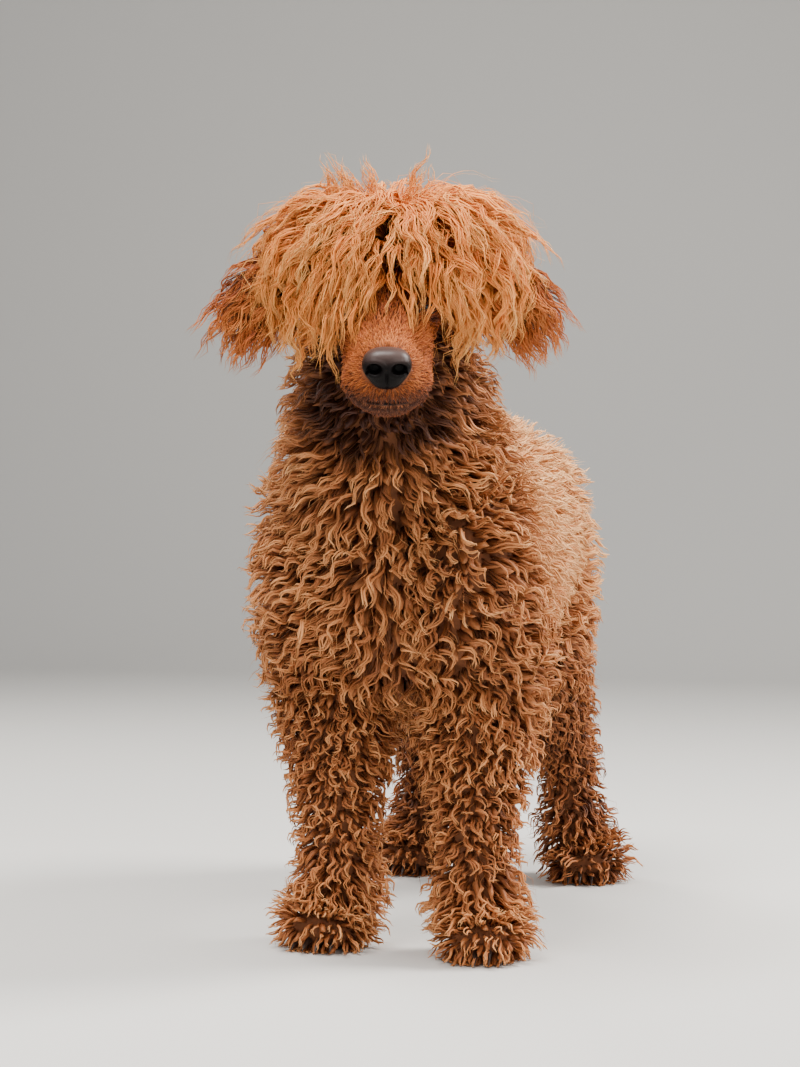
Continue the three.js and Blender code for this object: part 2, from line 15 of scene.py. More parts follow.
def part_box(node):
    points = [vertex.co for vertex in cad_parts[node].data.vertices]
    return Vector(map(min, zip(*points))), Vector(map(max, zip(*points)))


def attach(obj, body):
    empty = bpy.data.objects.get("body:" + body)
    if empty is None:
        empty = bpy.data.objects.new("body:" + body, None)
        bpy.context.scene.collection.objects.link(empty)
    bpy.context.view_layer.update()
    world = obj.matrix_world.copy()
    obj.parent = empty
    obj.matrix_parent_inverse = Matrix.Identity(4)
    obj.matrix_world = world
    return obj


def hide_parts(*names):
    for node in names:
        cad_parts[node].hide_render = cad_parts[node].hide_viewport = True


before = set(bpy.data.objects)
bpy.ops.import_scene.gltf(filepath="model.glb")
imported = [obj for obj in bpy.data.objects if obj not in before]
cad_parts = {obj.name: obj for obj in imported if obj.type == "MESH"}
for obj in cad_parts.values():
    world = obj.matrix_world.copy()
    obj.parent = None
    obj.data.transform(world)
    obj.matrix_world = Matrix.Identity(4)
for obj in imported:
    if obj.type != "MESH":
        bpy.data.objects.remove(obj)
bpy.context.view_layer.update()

log = logging.getLogger("poodle")
Array = np.ndarray
Draw = np.random.Generator
Material = bpy.types.Material
Mesh = bpy.types.Mesh
Colour = tuple[float, float, float]
Place = tuple[float, float, float]
Band = tuple[float, float]

MM = 0.001
BODY = "root"
TURN = 2 * math.pi
SIDES = (("left", 1), ("right", -1))
UP = np.array([0.0, 0.0, 1.0])
ACROSS = np.array([1.0, 0.0, 0.0])
AHEAD = np.array([0.0, -1.0, 0.0])

# The coat's two maps, the share of the bake map that one strand takes, and most triangles of a piece
BAKE_MAP = "OFBake"
STRAND_MAP = "Strand"
PATCH = 0.003
PIECE_LIMIT = 190_000
# Least heights over the floor, in millimetres: a strand's line, the skin, and a strand's corners
FLOOR_GAP = 1.6
SKIN_GAP = 0.3 * FLOOR_GAP
CORNER_GAP = 0.2 * FLOOR_GAP
# Lengths under these count as none
LEAST_LENGTH = 1e-9
LEAST_GAP = 1e-4


class Slot(Enum):
    """The record's material slots."""

    COAT = "coat"
    FACE = "face_and_mop"
    EARS = "ear_hair"
    NOSE = "nose"
    EYE = "eye"


# Where the legs stand, in millimetres, and the head's place, turn and drop
FORE_STANCE = 70.0
HIND_STANCE = 88.0
STRIDE = 488.0
FORE_STAGGER = 13.0
HIND_STAGGER = 9.0
FORE_FOOT_OUT = 10.0
HIND_FOOT_OUT = 17.0
TOE_OUT = math.radians(9)
HEAD_PLACE = np.array([22.0, -172.0, 623.0])
HEAD_TURN = math.radians(13)
HEAD_DROP = math.radians(15)
# Middles of the left eye and of the nose, in the head's own frame
EYE_PLACE = (33.0, -56.0, 4.0)
NOSE_PLACE = (0.0, -130.0, -34.0)

# Sections of the skin: centre x, y, z, half width, other half size, depth of coat
TRUNK = (
    (0, -98, 396, 30, 30, 44),
    (0, -66, 392, 68, 74, 44),
    (0, 0, 380, 95, 112, 44),
    (0, 100, 377, 99, 116, 44),
    (0, 220, 394, 96, 107, 44),
    (0, 330, 411, 96, 95, 44),
    (0, 400, 416, 87, 84, 42),
    (0, 432, 410, 34, 34, 40),
)
NECK = (
    (0, 14, 400, 70, 78, 44),
    (0, -30, 456, 90, 84, 46),
    (1, -66, 512, 70, 70, 46),
    (5, -98, 566, 60, 58, 44),
    (14, -128, 606, 44, 46, 40),
)
FORELEG = (
    (62, -44, 434, 46, 46, 40),
    (68, -38, 366, 50, 52, 38),
    (75, 0, 290, 50, 44, 34),
    (73, 6, 215, 39, 34, 30),
    (FORE_STANCE + 2, 0, 130, 25, 25, 26),
    (FORE_STANCE + 3, 0, 60, 22, 22, 26),
    (FORE_STANCE + 5, -3, 32, 24, 22, 24),
)
HINDLEG = (
    (46, 380, 448, 46, 52, 36),
    (58, 366, 380, 48, 72, 35),
    (66, 366, 306, 43, 62, 33),
    (74, 410, 226, 29, 38, 28),
    (84, 464, 164, 19, 26, 25),
    (HIND_STANCE - 2, STRIDE - 1, 130, 17, 22, 25),
    (HIND_STANCE + 2, STRIDE - 2, 70, 18, 19, 26),
    (HIND_STANCE + 9, STRIDE - 4, 32, 21, 22, 24),
)
PAW = ((0, 20, 26, 20, 20, 24), (0, -6, 21, 33, 22, 24), (0, -34, 17, 29, 16, 24))
TAIL = (
    (0, 418, 462, 20, 20, 30),
    (0, 458, 446, 17, 17, 30),
    (0, 484, 402, 14, 14, 30),
    (0, 494, 350, 11, 11, 30),
    (0, 498, 306, 7, 7, 30),
)
# Skull and ear, in the head's own frame: the short fur of the face is taken off the solid's sizes
SKULL = (
    (0, 56, 8, 24, 22, 6),
    (0, 10, 2, 45, 39, 6),
    (0, -28, -4, 44, 38, 6),
    (0, -58, -20, 36, 35, 6),
    (0, -84, -38, 36, 35, 6),
    (0, -108, -47, 37, 35, 6),
    (0, -126, -53, 28, 28, 5),
)
EAR = (
    (44, 18, 8, 18, 6, 5),
    (84, 20, 14, 27, 6, 5),
    (118, 18, 0, 30, 6, 5),
    (136, 16, -24, 20, 5, 5),
)


def unit(vectors: Array) -> Array:
    """Vectors scaled to length one."""
    return vectors / np.maximum(np.linalg.norm(vectors, axis=-1, keepdims=True), LEAST_LENGTH)


def ease(values: Array, low: float, high: float) -> Array:
    """A smooth rise from 0 at low to 1 at high."""
    share = np.clip((np.asarray(values, float) - low) / (high - low), 0, 1)
    return share * share * (3 - 2 * share)


def bell(values: Array, width: float) -> Array:
    """A bell curve, 1 at zero and small beyond the width."""
    return np.exp(-((values / width) ** 2))


def across_plane(vectors: Array, normals: Array) -> Array:
    """The part of each vector that lies in the plane across its normal, with length one."""
    return unit(vectors - normals * np.sum(vectors * normals, axis=-1, keepdims=True))


def turned(angle: float, axis: str) -> Array:
    """A rotation matrix about the X, Y or Z axis."""
    return np.array(Matrix.Rotation(angle, 3, axis))


HEAD_ROTATION = turned(HEAD_TURN, "Z") @ turned(HEAD_DROP, "X")


def from_head(points: Array) -> Array:
    """Points of the head's own frame in the drawing's frame."""
    return points @ HEAD_ROTATION.T + HEAD_PLACE


def to_head(points: Array) -> Array:
    """Points of the drawing's frame in the head's own frame."""
    return (points - HEAD_PLACE) @ HEAD_ROTATION


def curve(points: Array, shares: Array) -> Array:
    """Places on a centripetal Catmull-Rom curve.

    Args:
        points: The points that the curve passes through, one a row.
        shares: Places on the curve, from 0 to 1.

    Returns:
        One row for each share.
    """
    count = len(points) - 1
    padded = np.vstack([2 * points[0] - points[1], points, 2 * points[-1] - points[-2]])
    place = np.clip(shares, 0, 1) * count
    index = np.minimum(place.astype(int), count - 1)
    share = (place - index)[:, None]
    p0, p1, p2, p3 = (padded[index + step] for step in range(4))
    gaps = [np.sqrt(np.linalg.norm(b - a, axis=1))[:, None] for a, b in ((p0, p1), (p1, p2), (p2, p3))]
    middle = np.where(gaps[1] < LEAST_GAP, 1.0, gaps[1])
    before, after = (np.where(gap < LEAST_GAP, middle, gap) for gap in (gaps[0], gaps[2]))
    start = ((p1 - p0) / before - (p2 - p0) / (before + middle)) * middle + (p2 - p1)
    end = (p2 - p1) + ((p3 - p2) / after - (p3 - p1) / (middle + after)) * middle
    bend = 2 * p1 - 2 * p2 + start + end
    lean = 3 * p2 - 3 * p1 - 2 * start - end
    return ((bend * share + lean) * share + start) * share + p1


def arcs(starts: Array, knees: Array, ends: Array, rings: int) -> Array:
    """Bent lines from starts to ends, drawn towards their knees.

    Args:
        starts: First point of each line.
        knees: The point that each line bends towards.
        ends: Last point of each line.
        rings: How many points a line has.

    Returns:
        The lines: lines, rings, axes.
    """
    shares = np.linspace(0, 1, rings)[None, :, None]
    starts, knees, ends = starts[:, None], knees[:, None], ends[:, None]
    return starts * (1 - shares) ** 2 + 2 * knees * shares * (1 - shares) + ends * shares**2


@dataclass
class Design:
    """The shift from the drawing's frame, in millimetres, to the part's frame, in metres."""

    shift: Array = field(init=False)

    def __post_init__(self) -> None:
        """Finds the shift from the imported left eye, whose centre is known in both frames."""
        low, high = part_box("eye_left")
        packed = np.array((low + high) / 2) / MM
        self.shift = from_head(np.array(EYE_PLACE)) - packed

    def place(self, points: Array) -> Array:
        """Points of the drawing in the part's frame."""
        return (points - self.shift) * MM

    def drawing(self, points: Array) -> Array:
        """Points of the part in the drawing's frame."""
        return points / MM + self.shift


DESIGN = Design()


def around(rings: int, sides: int) -> tuple[Array, Array]:
    """Places along a form, from 0 to 1, and angles round it, ring by ring."""
    shares = np.repeat(np.linspace(0, 1, rings), sides)
    return shares, np.tile(np.arange(sides) * TURN / sides, rings)


@dataclass
class Form:
    """A swept form of the body: a path of centres with half sizes and a depth of coat along it."""

    name: str
    sections: Array
    axis: Array = field(default_factory=lambda: ACROSS)
    step: float = 1e-3
    pole: float = 0.5

    def at(self, shares: Array) -> dict[str, Array]:
        """The centre, axes and sizes of the form at places along its path."""
        centres, sizes = self.sections[:, :3], self.sections[:, 3:]
        before, after = np.maximum(shares - self.step, 0), np.minimum(shares + self.step, 1)
        move = curve(centres, after) - curve(centres, before)
        along = unit(move)
        side = across_plane(np.broadcast_to(self.axis, along.shape), along)
        wide, deep, coat = curve(sizes, shares).T
        return {
            "centre": curve(centres, shares),
            "along": along,
            "side": side,
            "front": np.cross(side, along),
            "wide": wide,
            "deep": deep,
            "coat": coat,
            "speed": np.linalg.norm(move, axis=1) / (after - before),
        }

    def surface(self, shares: Array, angles: Array) -> Array:
        """Points of the skin at places along the path and angles round it."""
        ring = self.at(shares)
        across = ring["side"] * (ring["wide"] * np.cos(angles))[:, None]
        return ring["centre"] + across + ring["front"] * (ring["deep"] * np.sin(angles))[:, None]

    def closed(self, rings: int, sides: int) -> tuple[Array, list[tuple[int, ...]]]:
        """The skin as a closed tube with a pole at each end.

        Args:
            rings: How many rings of points it has.
            sides: How many points a ring has.

        Returns:
            Its points and its faces.
        """
        points = self.surface(*around(rings, sides))
        ends = self.at(np.array([0.0, 1.0]))
        reach = self.pole * np.minimum(ends["wide"], ends["deep"]) * np.array([-1, 1])
        poles = ends["centre"] + ends["along"] * reach[:, None]
        start, end, last = rings * sides, rings * sides + 1, (rings - 1) * sides
        pairs = [(i, (i + 1) % sides) for i in range(sides)]
        faces: list[tuple[int, ...]] = []
        for low in range(0, last, sides):
            faces += [(low + i, low + j, low + sides + j, low + sides + i) for i, j in pairs]
        for i, j in pairs:
            faces += [(start, j, i), (end, last + i, last + j)]
        return np.vstack([points, poles]), faces


def on_side(sections: tuple, sign: int, x: float = 0, y: float = 0, turn: float = 0) -> Array:
    """Sections set on one side of the body, moved and turned about the upright axis."""
    rows = np.array(sections, float)
    rows[:, :3] = rows[:, :3] @ turned(turn, "Z").T
    rows[:, 0] = sign * (rows[:, 0] + x)
    rows[:, 1] += y
    return rows


def on_head(sections: tuple | Array) -> Array:
    """Sections of the head's own frame in the drawing's frame."""
    rows = np.array(sections, float)
    rows[:, :3] = from_head(rows[:, :3])
    return rows


def feet(sign: int) -> tuple[Band, Band]:
    """Where the fore foot and the hind foot of one side stand, across and along the body."""
    fore, hind = -sign * FORE_STAGGER, -sign * HIND_STAGGER
    return (FORE_STANCE + FORE_FOOT_OUT, fore), (HIND_STANCE + HIND_FOOT_OUT, STRIDE + hind)


def body_forms() -> list[Form]:
    """All the swept forms of the body, in the drawing's frame."""
    forms = [
        Form("trunk", np.array(TRUNK, float)),
        Form("neck", np.array(NECK, float)),
        Form("tail", np.array(TAIL, float)),
        Form("skull", on_head(SKULL), HEAD_ROTATION @ ACROSS),
    ]
    for side, sign in SIDES:
        fore, hind = feet(sign)
        forms += [
            Form(f"foreleg_{side}", on_side(FORELEG, sign, 0, -sign * FORE_STAGGER)),
            Form(f"hindleg_{side}", on_side(HINDLEG, sign, 0, -sign * HIND_STAGGER)),
            Form(f"forepaw_{side}", on_side(PAW, sign, *fore, TOE_OUT)),
            Form(f"hindpaw_{side}", on_side(PAW, sign, *hind, TOE_OUT)),
            Form(f"ear_{side}", on_head(on_side(EAR, sign)), HEAD_ROTATION @ UP),
        ]
    return forms


class Value:
    """A shader or geometry socket, whose arithmetic adds Math nodes."""

    def __init__(self, tree: "Nodes", socket: bpy.types.NodeSocket) -> None:
        """Keeps the socket and the tree that it is in."""
        self.tree = tree
        self.socket = socket

    def _math(self, operation: str, first: "Value | float", second: "Value | float") -> "Value":
        """One Math node on two values."""
        return self.tree.node("ShaderNodeMath", {"operation": operation}, {0: first, 1: second})

    def __add__(self, other: "Value | float") -> "Value":
        """The sum."""
        return self._math("ADD", self, other)

    __radd__ = __add__

    def __mul__(self, other: "Value | float") -> "Value":
        """The product."""
        return self._math("MULTIPLY", self, other)

    __rmul__ = __mul__

    def __sub__(self, other: "Value | float") -> "Value":
        """The difference."""
        return self._math("SUBTRACT", self, other)

    def __rsub__(self, other: "Value | float") -> "Value":
        """The difference the other way round."""
        return self._math("SUBTRACT", other, self)

    def __pow__(self, other: "Value | float") -> "Value":
        """The power."""
        return self._math("POWER", self, other)

    def rise(self, low: float, high: float) -> "Value":
        """A smooth rise from 0 at low to 1 at high."""
        sockets = {"Value": self, "From Min": low, "From Max": high}
        return self.tree.node("ShaderNodeMapRange", {"interpolation_type": "SMOOTHSTEP"}, sockets)


class Nodes:
    """A node tree that is filled one node at a time."""

    def __init__(self, tree: bpy.types.NodeTree) -> None:
        """Starts from an empty tree."""
        self.tree = tree
        tree.nodes.clear()

    def node(
        self, kind: str, settings: dict | None = None, sockets: dict | None = None, out: int | str = 0
    ) -> Value:
        """Adds a node.

        Args:
            kind: The node's type.
            settings: Properties that are set first; stops are those of a colour ramp.
            sockets: Values or links of its input sockets, by name or number.
            out: The output socket that is returned, by name or number.

        Returns:
            The output socket as a value.
        """
        made = self.tree.nodes.new(kind)
        for key, value in (settings or {}).items():
            if key == "stops":
                self._stops(made.color_ramp, value)
            else:
                setattr(made, key, value)
        for key, value in (sockets or {}).items():
            if isinstance(value, Value):
                self.tree.links.new(value.socket, made.inputs[key])
            else:
                made.inputs[key].default_value = value
        return Value(self, made.outputs[out]) if made.outputs else Value(self, None)

    @staticmethod
    def _stops(ramp: bpy.types.ColorRamp, stops: tuple) -> None:
        """Sets a colour ramp's stops."""
        while len(ramp.elements) < len(stops):
            ramp.elements.new(1.0)
        for element, (place, colour) in zip(ramp.elements, stops):
            element.position = place
            element.color = opaque(colour)

    def attribute(self, name: str) -> Value:
        """A number kept on the mesh."""
        return self.node("ShaderNodeAttribute", {"attribute_name": name}, out="Fac")

    def place(self) -> Value:
        """The place on the object."""
        return self.node("ShaderNodeTexCoord", out="Object")

    def noise(self, place: Value, scale: float, detail: float) -> Value:
        """Smooth noise from 0 to 1."""
        return self.node("ShaderNodeTexNoise", sockets={"Vector": place, "Scale": scale, "Detail": detail})

    def bump(self, height: Value, strength: float, distance: float) -> Value:
        """Normals that follow a height, whose whole range is the distance in metres."""
        sockets = {"Strength": strength, "Distance": distance, "Height": height}
        return self.node("ShaderNodeBump", sockets=sockets)

    def mix(self, share: Value, first: object, second: object, blend: str = "MIX") -> Value:
        """A blend of two colours."""
        settings = {"data_type": "RGBA", "blend_type": blend}
        return self.node("ShaderNodeMix", settings, {0: share, 6: first, 7: second}, out=2)

    def surface(self, sockets: dict) -> None:
        """Ends the tree in a surface with those sockets."""
        surface = self.node("ShaderNodeBsdfPrincipled", sockets=sockets)
        self.node("ShaderNodeOutputMaterial", sockets={0: surface})


def shader(name: str) -> tuple[Material, Nodes]:
    """A new material and its empty node tree."""
    material = bpy.data.materials.new(name)
    material.use_nodes = True
    return material, Nodes(material.node_tree)


def rgb(red: int, green: int, blue: int) -> Colour:
    """A colour of a paint chart, from 0 to 255, as the renderer's linear colour."""

    def linear(value: int) -> float:
        """One channel made linear by the sRGB rule."""
        share = value / 255
        return share / 12.92 if share <= 0.04045 else ((share + 0.055) / 1.055) ** 2.4

    return linear(red), linear(green), linear(blue)


def opaque(colour: Colour, share: float = 1.0) -> tuple[float, ...]:
    """A solid colour of four channels, brighter or darker by a share."""
    return *(share * channel for channel in colour), 1.0


@dataclass(frozen=True)
class HairFinish:
    """Apricot hair: dark at the root, lighter and paler at the tip, finely streaked."""

    name: str
    root: Colour
    middle: Colour
    light: Colour
    pale: Colour
    rust: Colour
    # The darkest stop, as shares of the root colour, is painted shade: it shows where painted shade lowers
    # the tone, as under the chin
    deep: Colour = (0.42, 0.26, 0.16)
    stops: tuple[float, ...] = (0.0, 0.1, 0.38, 0.7, 1.0)
    streaks: tuple[float, float, float] = (9.0, 1.3, 90.0)
    by_length: float = 0.62
    by_tone: float = 0.4
    by_streak: float = 0.5
    darker: float = 0.24
    sheen: float = 0.22
    sheen_roughness: float = 0.45
    roughness: float = 0.62
    specular: float = 0.35
    bump: Band = (0.8, 0.0008)

    def make(self) -> Material:
        """Builds the material."""
        material, tree = shader(self.name)
        strand = tree.node("ShaderNodeUVMap", {"uv_map": STRAND_MAP})
        around_it = tree.node("ShaderNodeSeparateXYZ", sockets={0: strand})
        along = Value(tree, around_it.socket.node.outputs[1])
        # The tone holds each strand's own shade and, on the body and face, painted light and shade
        tone, warm = tree.attribute("tone"), tree.attribute("warm")
        fine, slow, apart = self.streaks
        sockets = {0: around_it * fine, 1: along * slow, 2: tone * apart}
        streak = tree.noise(tree.node("ShaderNodeCombineXYZ", sockets=sockets), 1.0, 3.0)
        place = along * self.by_length + tone * self.by_tone + streak * self.by_streak - self.darker
        deep = tuple(share * channel for share, channel in zip(self.deep, self.root))
        stops = tuple(zip(self.stops, (deep, self.root, self.middle, self.light, self.pale)))
        colour = tree.node("ShaderNodeValToRGB", {"stops": stops}, {0: place})
        sockets = {
            "Base Color": tree.mix(warm, colour, opaque(self.rust), "MULTIPLY"),
            "Roughness": self.roughness,
            "Sheen Weight": self.sheen,
            "Sheen Roughness": self.sheen_roughness,
            "Sheen Tint": opaque(self.light),
            "Specular IOR Level": self.specular,
            "Normal": tree.bump(streak, *self.bump),
        }
        tree.surface(sockets)
        return material


@dataclass(frozen=True)
class SkinFinish:
    """Skin under the coat, with the short fur of the face and dark lips and rims of the eyes."""

    under: Colour = rgb(132, 76, 40)
    fur: Colour = rgb(126, 62, 26)
    lip: Colour = rgb(24, 17, 15)
    patches: float = 0.5
    grain: float = 420.0
    clouds: float = 210.0
    roughness: float = 0.85
    moist: float = 0.25
    bump: Band = (0.5, 0.0008)

    def make(self) -> Material:
        """Builds the material."""
        material, tree = shader("skin")
        place = tree.place()
        grain, cloud = tree.noise(place, self.grain, 4.0), tree.noise(place, self.clouds, 4.0)
        dark, face = tree.attribute("lip"), tree.attribute("face")
        fur = tree.mix(grain, opaque(self.under), opaque(self.fur))
        coat = tree.mix(cloud, opaque(self.under), opaque(self.under, self.patches))
        sockets = {
            "Base Color": tree.mix(dark, tree.mix(face, coat, fur), opaque(self.lip)),
            "Roughness": self.roughness - dark * self.moist,
            "Normal": tree.bump(grain, *self.bump),
        }
        tree.surface(sockets)
        return material


@dataclass(frozen=True)
class NoseFinish:
    """Pebbled, slightly moist black-brown leather of the nose, with a painted highlight on its top and
    painted shade deep in the nostrils.
    """

    dark: Colour = rgb(5, 4, 4)
    light: Colour = rgb(17, 13, 13)
    # Painted highlight: a paler colour on the top of the nose
    upper: Colour = rgb(66, 50, 46)
    # Painted shade: near black deep in the nostrils
    hollow: Colour = (0.002, 0.002, 0.002)
    pebbles: float = 900.0
    crease: float = 0.12
    clouds: float = 90.0
    roughness: float = 0.3
    dry: float = 0.14
    coat: float = 0.4
    coat_roughness: float = 0.4
    specular: float = 0.07
    bump: Band = (0.35, 0.0004)

    def make(self) -> Material:
        """Builds the material."""
        material, tree = shader("nose_leather")
        place = tree.place()
        sockets = {"Vector": place, "Scale": self.pebbles}
        cells = tree.node("ShaderNodeTexVoronoi", {"feature": "DISTANCE_TO_EDGE"}, sockets)
        cloud = tree.noise(place, self.clouds, 3.0)
        upper, hollow = tree.attribute("upper"), tree.attribute("hollow")
        colour = tree.mix(cloud, opaque(self.dark), opaque(self.light))
        # Painted highlight on the top of the nose
        colour = tree.mix(upper, colour, opaque(self.upper))
        sockets = {
            # Painted shade deep in the nostrils
            "Base Color": tree.mix(hollow, colour, opaque(self.hollow)),
            "Roughness": self.roughness + cloud * self.dry,
            "Normal": tree.bump(cells.rise(0.0, self.crease), *self.bump),
            "Coat Weight": upper * self.coat,
            "Coat Roughness": self.coat_roughness,
            "Specular IOR Level": self.specular,
        }
        tree.surface(sockets)
        return material


@dataclass(frozen=True)
class EyeFinish:
    """Dark brown iris and black pupil under a clear, wet surface."""

    black: Colour = (0.003, 0.002, 0.002)
    iris: Colour = rgb(58, 30, 14)
    rim: float = 0.35
    white: Colour = (0.16, 0.1, 0.08)
    stops: tuple[float, ...] = (0.0, 0.3, 0.34, 0.62, 0.72, 1.0)
    roughness: float = 0.12
    wet: Band = (1.0, 0.02)

    def make(self) -> Material:
        """Builds the material."""
        material, tree = shader("eye")
        deep = tuple(self.rim * channel for channel in self.iris)
        rings = (self.black, self.black, self.iris, deep, self.black, self.white)
        stops = tuple(zip(self.stops, rings))
        colour = tree.node("ShaderNodeValToRGB", {"stops": stops}, {0: tree.attribute("ring")})
        wet = dict(zip(("Coat Weight", "Coat Roughness"), self.wet))
        tree.surface({"Base Color": colour, "Roughness": self.roughness, **wet})
        return material


@dataclass(frozen=True)
class ClawFinish:
    """Dark horn, lengthwise grained."""

    horn: Colour = rgb(46, 34, 28)
    paler: float = 1.9
    grain: float = 700.0
    roughness: float = 0.4
    bump: Band = (0.2, 0.0003)

    def make(self) -> Material:
        """Builds the material."""
        material, tree = shader("claw_horn")
        grain = tree.noise(tree.place(), self.grain, 2.0)
        colour = tree.mix(grain, opaque(self.horn), opaque(self.horn, self.paler))
        bump = tree.bump(grain, *self.bump)
        tree.surface({"Base Color": colour, "Roughness": self.roughness, "Normal": bump})
        return material


@dataclass(frozen=True)
class FloorFinish:
    """Plain pale floor."""

    pale: Colour = rgb(206, 204, 200)
    roughness: float = 0.8

    def make(self) -> Material:
        """Builds the material."""
        material, tree = shader("floor")
        tree.surface({"Base Color": opaque(self.pale), "Roughness": self.roughness})
        return material


def new_object(name: str, mesh: Mesh) -> bpy.types.Object:
    """An object of that mesh in the scene."""
    made = bpy.data.objects.new(name, mesh)
    bpy.context.scene.collection.objects.link(made)
    return made


def made_mesh(shell: bmesh.types.BMesh, name: str) -> Mesh:
    """A mesh of a finished working shell, which is freed."""
    mesh = bpy.data.meshes.new(name)
    shell.to_mesh(mesh)
    shell.free()
    return mesh


def ball(name: str, subdivisions: int) -> Mesh:
    """A ball of radius one."""
    shell = bmesh.new()
    bmesh.ops.create_icosphere(shell, subdivisions=subdivisions, radius=1)
    return made_mesh(shell, name)


def applied(obj: bpy.types.Object, material: Material) -> None:
    """Puts the evaluated mesh in the place of the object's own, with one finish and no modifiers."""
    depsgraph = bpy.context.evaluated_depsgraph_get()
    mesh = bpy.data.meshes.new_from_object(obj.evaluated_get(depsgraph))
    obj.modifiers.clear()
    obj.data = mesh
    mesh.materials.clear()
    mesh.materials.append(material)


def points_of(mesh: Mesh) -> Array:
    """The corners of a mesh, one a row."""
    flat = np.empty(len(mesh.vertices) * 3, np.float32)
    mesh.vertices.foreach_get("co", flat)
    return flat.reshape(-1, 3).astype(float)


def move_points(mesh: Mesh, points: Array) -> None:
    """Sets the corners of a mesh to points of the drawing."""
    mesh.vertices.foreach_set("co", DESIGN.place(points).ravel())
    mesh.update()


def number_on(mesh: Mesh, name: str, values: Array) -> None:
    """Keeps a number for each corner of a mesh."""
    mesh.attributes.new(name, "FLOAT", "POINT").data.foreach_set("value", values.astype(np.float32))


def search_tree(points: Array) -> KDTree:
    """A search tree of points."""
    tree = KDTree(len(points))
    for index, point in enumerate(points):
        tree.insert(point, index)
    tree.balance()
    return tree


def keep(piece: bpy.types.Object, slot: Slot, *nodes: str) -> None:
    """Attaches a finished piece to its body and hides the nodes of the frame that it stands for."""
    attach(piece, BODY)
    if nodes:
        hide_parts(*nodes)
    count = sum(len(face.vertices) - 2 for face in piece.data.polygons)
    log.info("%s: %d triangles", piece.name, count)


def keep_ball(mesh: Mesh, material: Material, slot: Slot, node: str) -> None:
    """Makes a smooth piece of a shaped ball, which stands for a node of the frame."""
    mesh.shade_smooth()
    mesh.materials.append(material)
    keep(new_object(mesh.name, mesh), slot, node)


@dataclass
class Eyes:
    """Both eyes: balls with a raised cornea, deep between the lids."""

    centre: Place = EYE_PLACE
    radius: float = 10.5
    cornea: float = 0.9
    cornea_edge: Band = (0.3, 0.75)
    ring: float = 1.25
    turn: float = math.radians(24)
    lid: float = 12.4
    half: float = 8.8
    tall: float = 4.9
    ahead: float = 0.2

    def at(self, sign: int) -> Array:
        """The centre of one eye in the head's frame."""
        return np.array(self.centre) * [sign, 1, 1]

    def axes(self, sign: int) -> tuple[Array, Array, Array]:
        """The gaze of one eye, and the directions across and up its opening."""
        gaze = turned(sign * self.turn, "Z") @ AHEAD
        return gaze, np.cross(gaze, UP), UP

    def open_share(self, points: Array, sign: int) -> tuple[Array, Array]:
        """How far points lie within the opening between the lids.

        Args:
            points: Points in the head's frame.
            sign: Which eye.

        Returns:
            Millimetres inside the edge of the opening, negative outside, and the directions from the eye.
        """
        gaze, across, upward = self.axes(sign)
        away = unit(points - self.at(sign))
        level = away @ across * self.lid
        high = away @ upward * self.lid
        edge = self.tall * (1 - (level / self.half) ** 2)
        inside = np.minimum(edge - np.abs(high), self.half - np.abs(level))
        return np.where(away @ gaze > self.ahead, inside, -self.lid), away

    def build(self, material: Material) -> None:
        """Makes both balls."""
        for side, sign in SIDES:
            mesh = ball(f"eyeball_{side}", 5)
            away = unit(points_of(mesh))
            off = np.arccos(np.clip(away @ self.axes(sign)[0], -1, 1))
            radius = self.radius + self.cornea * (1 - ease(off, *self.cornea_edge))
            move_points(mesh, from_head(self.at(sign) + away * radius[:, None]))
            number_on(mesh, "ring", np.clip(off / self.ring, 0, 1))
            keep_ball(mesh, material, Slot.EYE, f"eye_{side}")


@dataclass
class Mouth:
    """The line of the closed mouth, with its lips."""

    corner: float = -78.0
    half: float = 34.0
    high: float = -64.0
    rise: float = 3.0
    seen: float = 19.0
    fade: Band = (15.0, 25.0)
    behind: Band = (-8.0, 4.0)
    end: float = 6.0
    reach: float = 14.0
    groove: float = 4.2
    narrow: float = 1.7
    lip: float = 1.9
    lip_off: float = 5.0
    lip_wide: float = 3.4
    dark: Band = (2.2, 4.2)

    def height(self, points: Array) -> tuple[Array, Array]:
        """How far points lie above the line of the mouth.

        Args:
            points: Points in the head's frame.

        Returns:
            Heights over the line, and the share of the mouth's effect, which fades behind its corners.
        """
        share = np.clip(points[:, 0] / self.half, -1, 1) ** 2
        line = self.high + self.rise * share
        effect = 1 - ease(points[:, 1], *(self.corner + way for way in self.behind))
        effect *= 1 - ease(np.abs(points[:, 0]), *self.fade)
        return points[:, 2] - line, effect

    def pressed(self, points: Array) -> tuple[Array, Array]:
        """Presses the line of the mouth into the skin and swells the lips beside it.

        Args:
            points: Points in the head's frame.

        Returns:
            The moved points, and how far each is lip, from 0 to 1.
        """
        over, effect = self.height(points)
        effect = effect * (np.abs(over) < self.reach) * (points[:, 1] < self.corner + self.end)
        groove = self.groove * bell(over, self.narrow)
        swell = self.lip * bell(np.abs(over) - self.lip_off, self.lip_wide)
        outward = unit(points * [1, 1, 0] - np.array([0, self.corner, 0]))
        moved = points + outward * ((swell - groove) * effect)[:, None]
        return moved, effect * (1 - ease(np.abs(over), *self.dark))


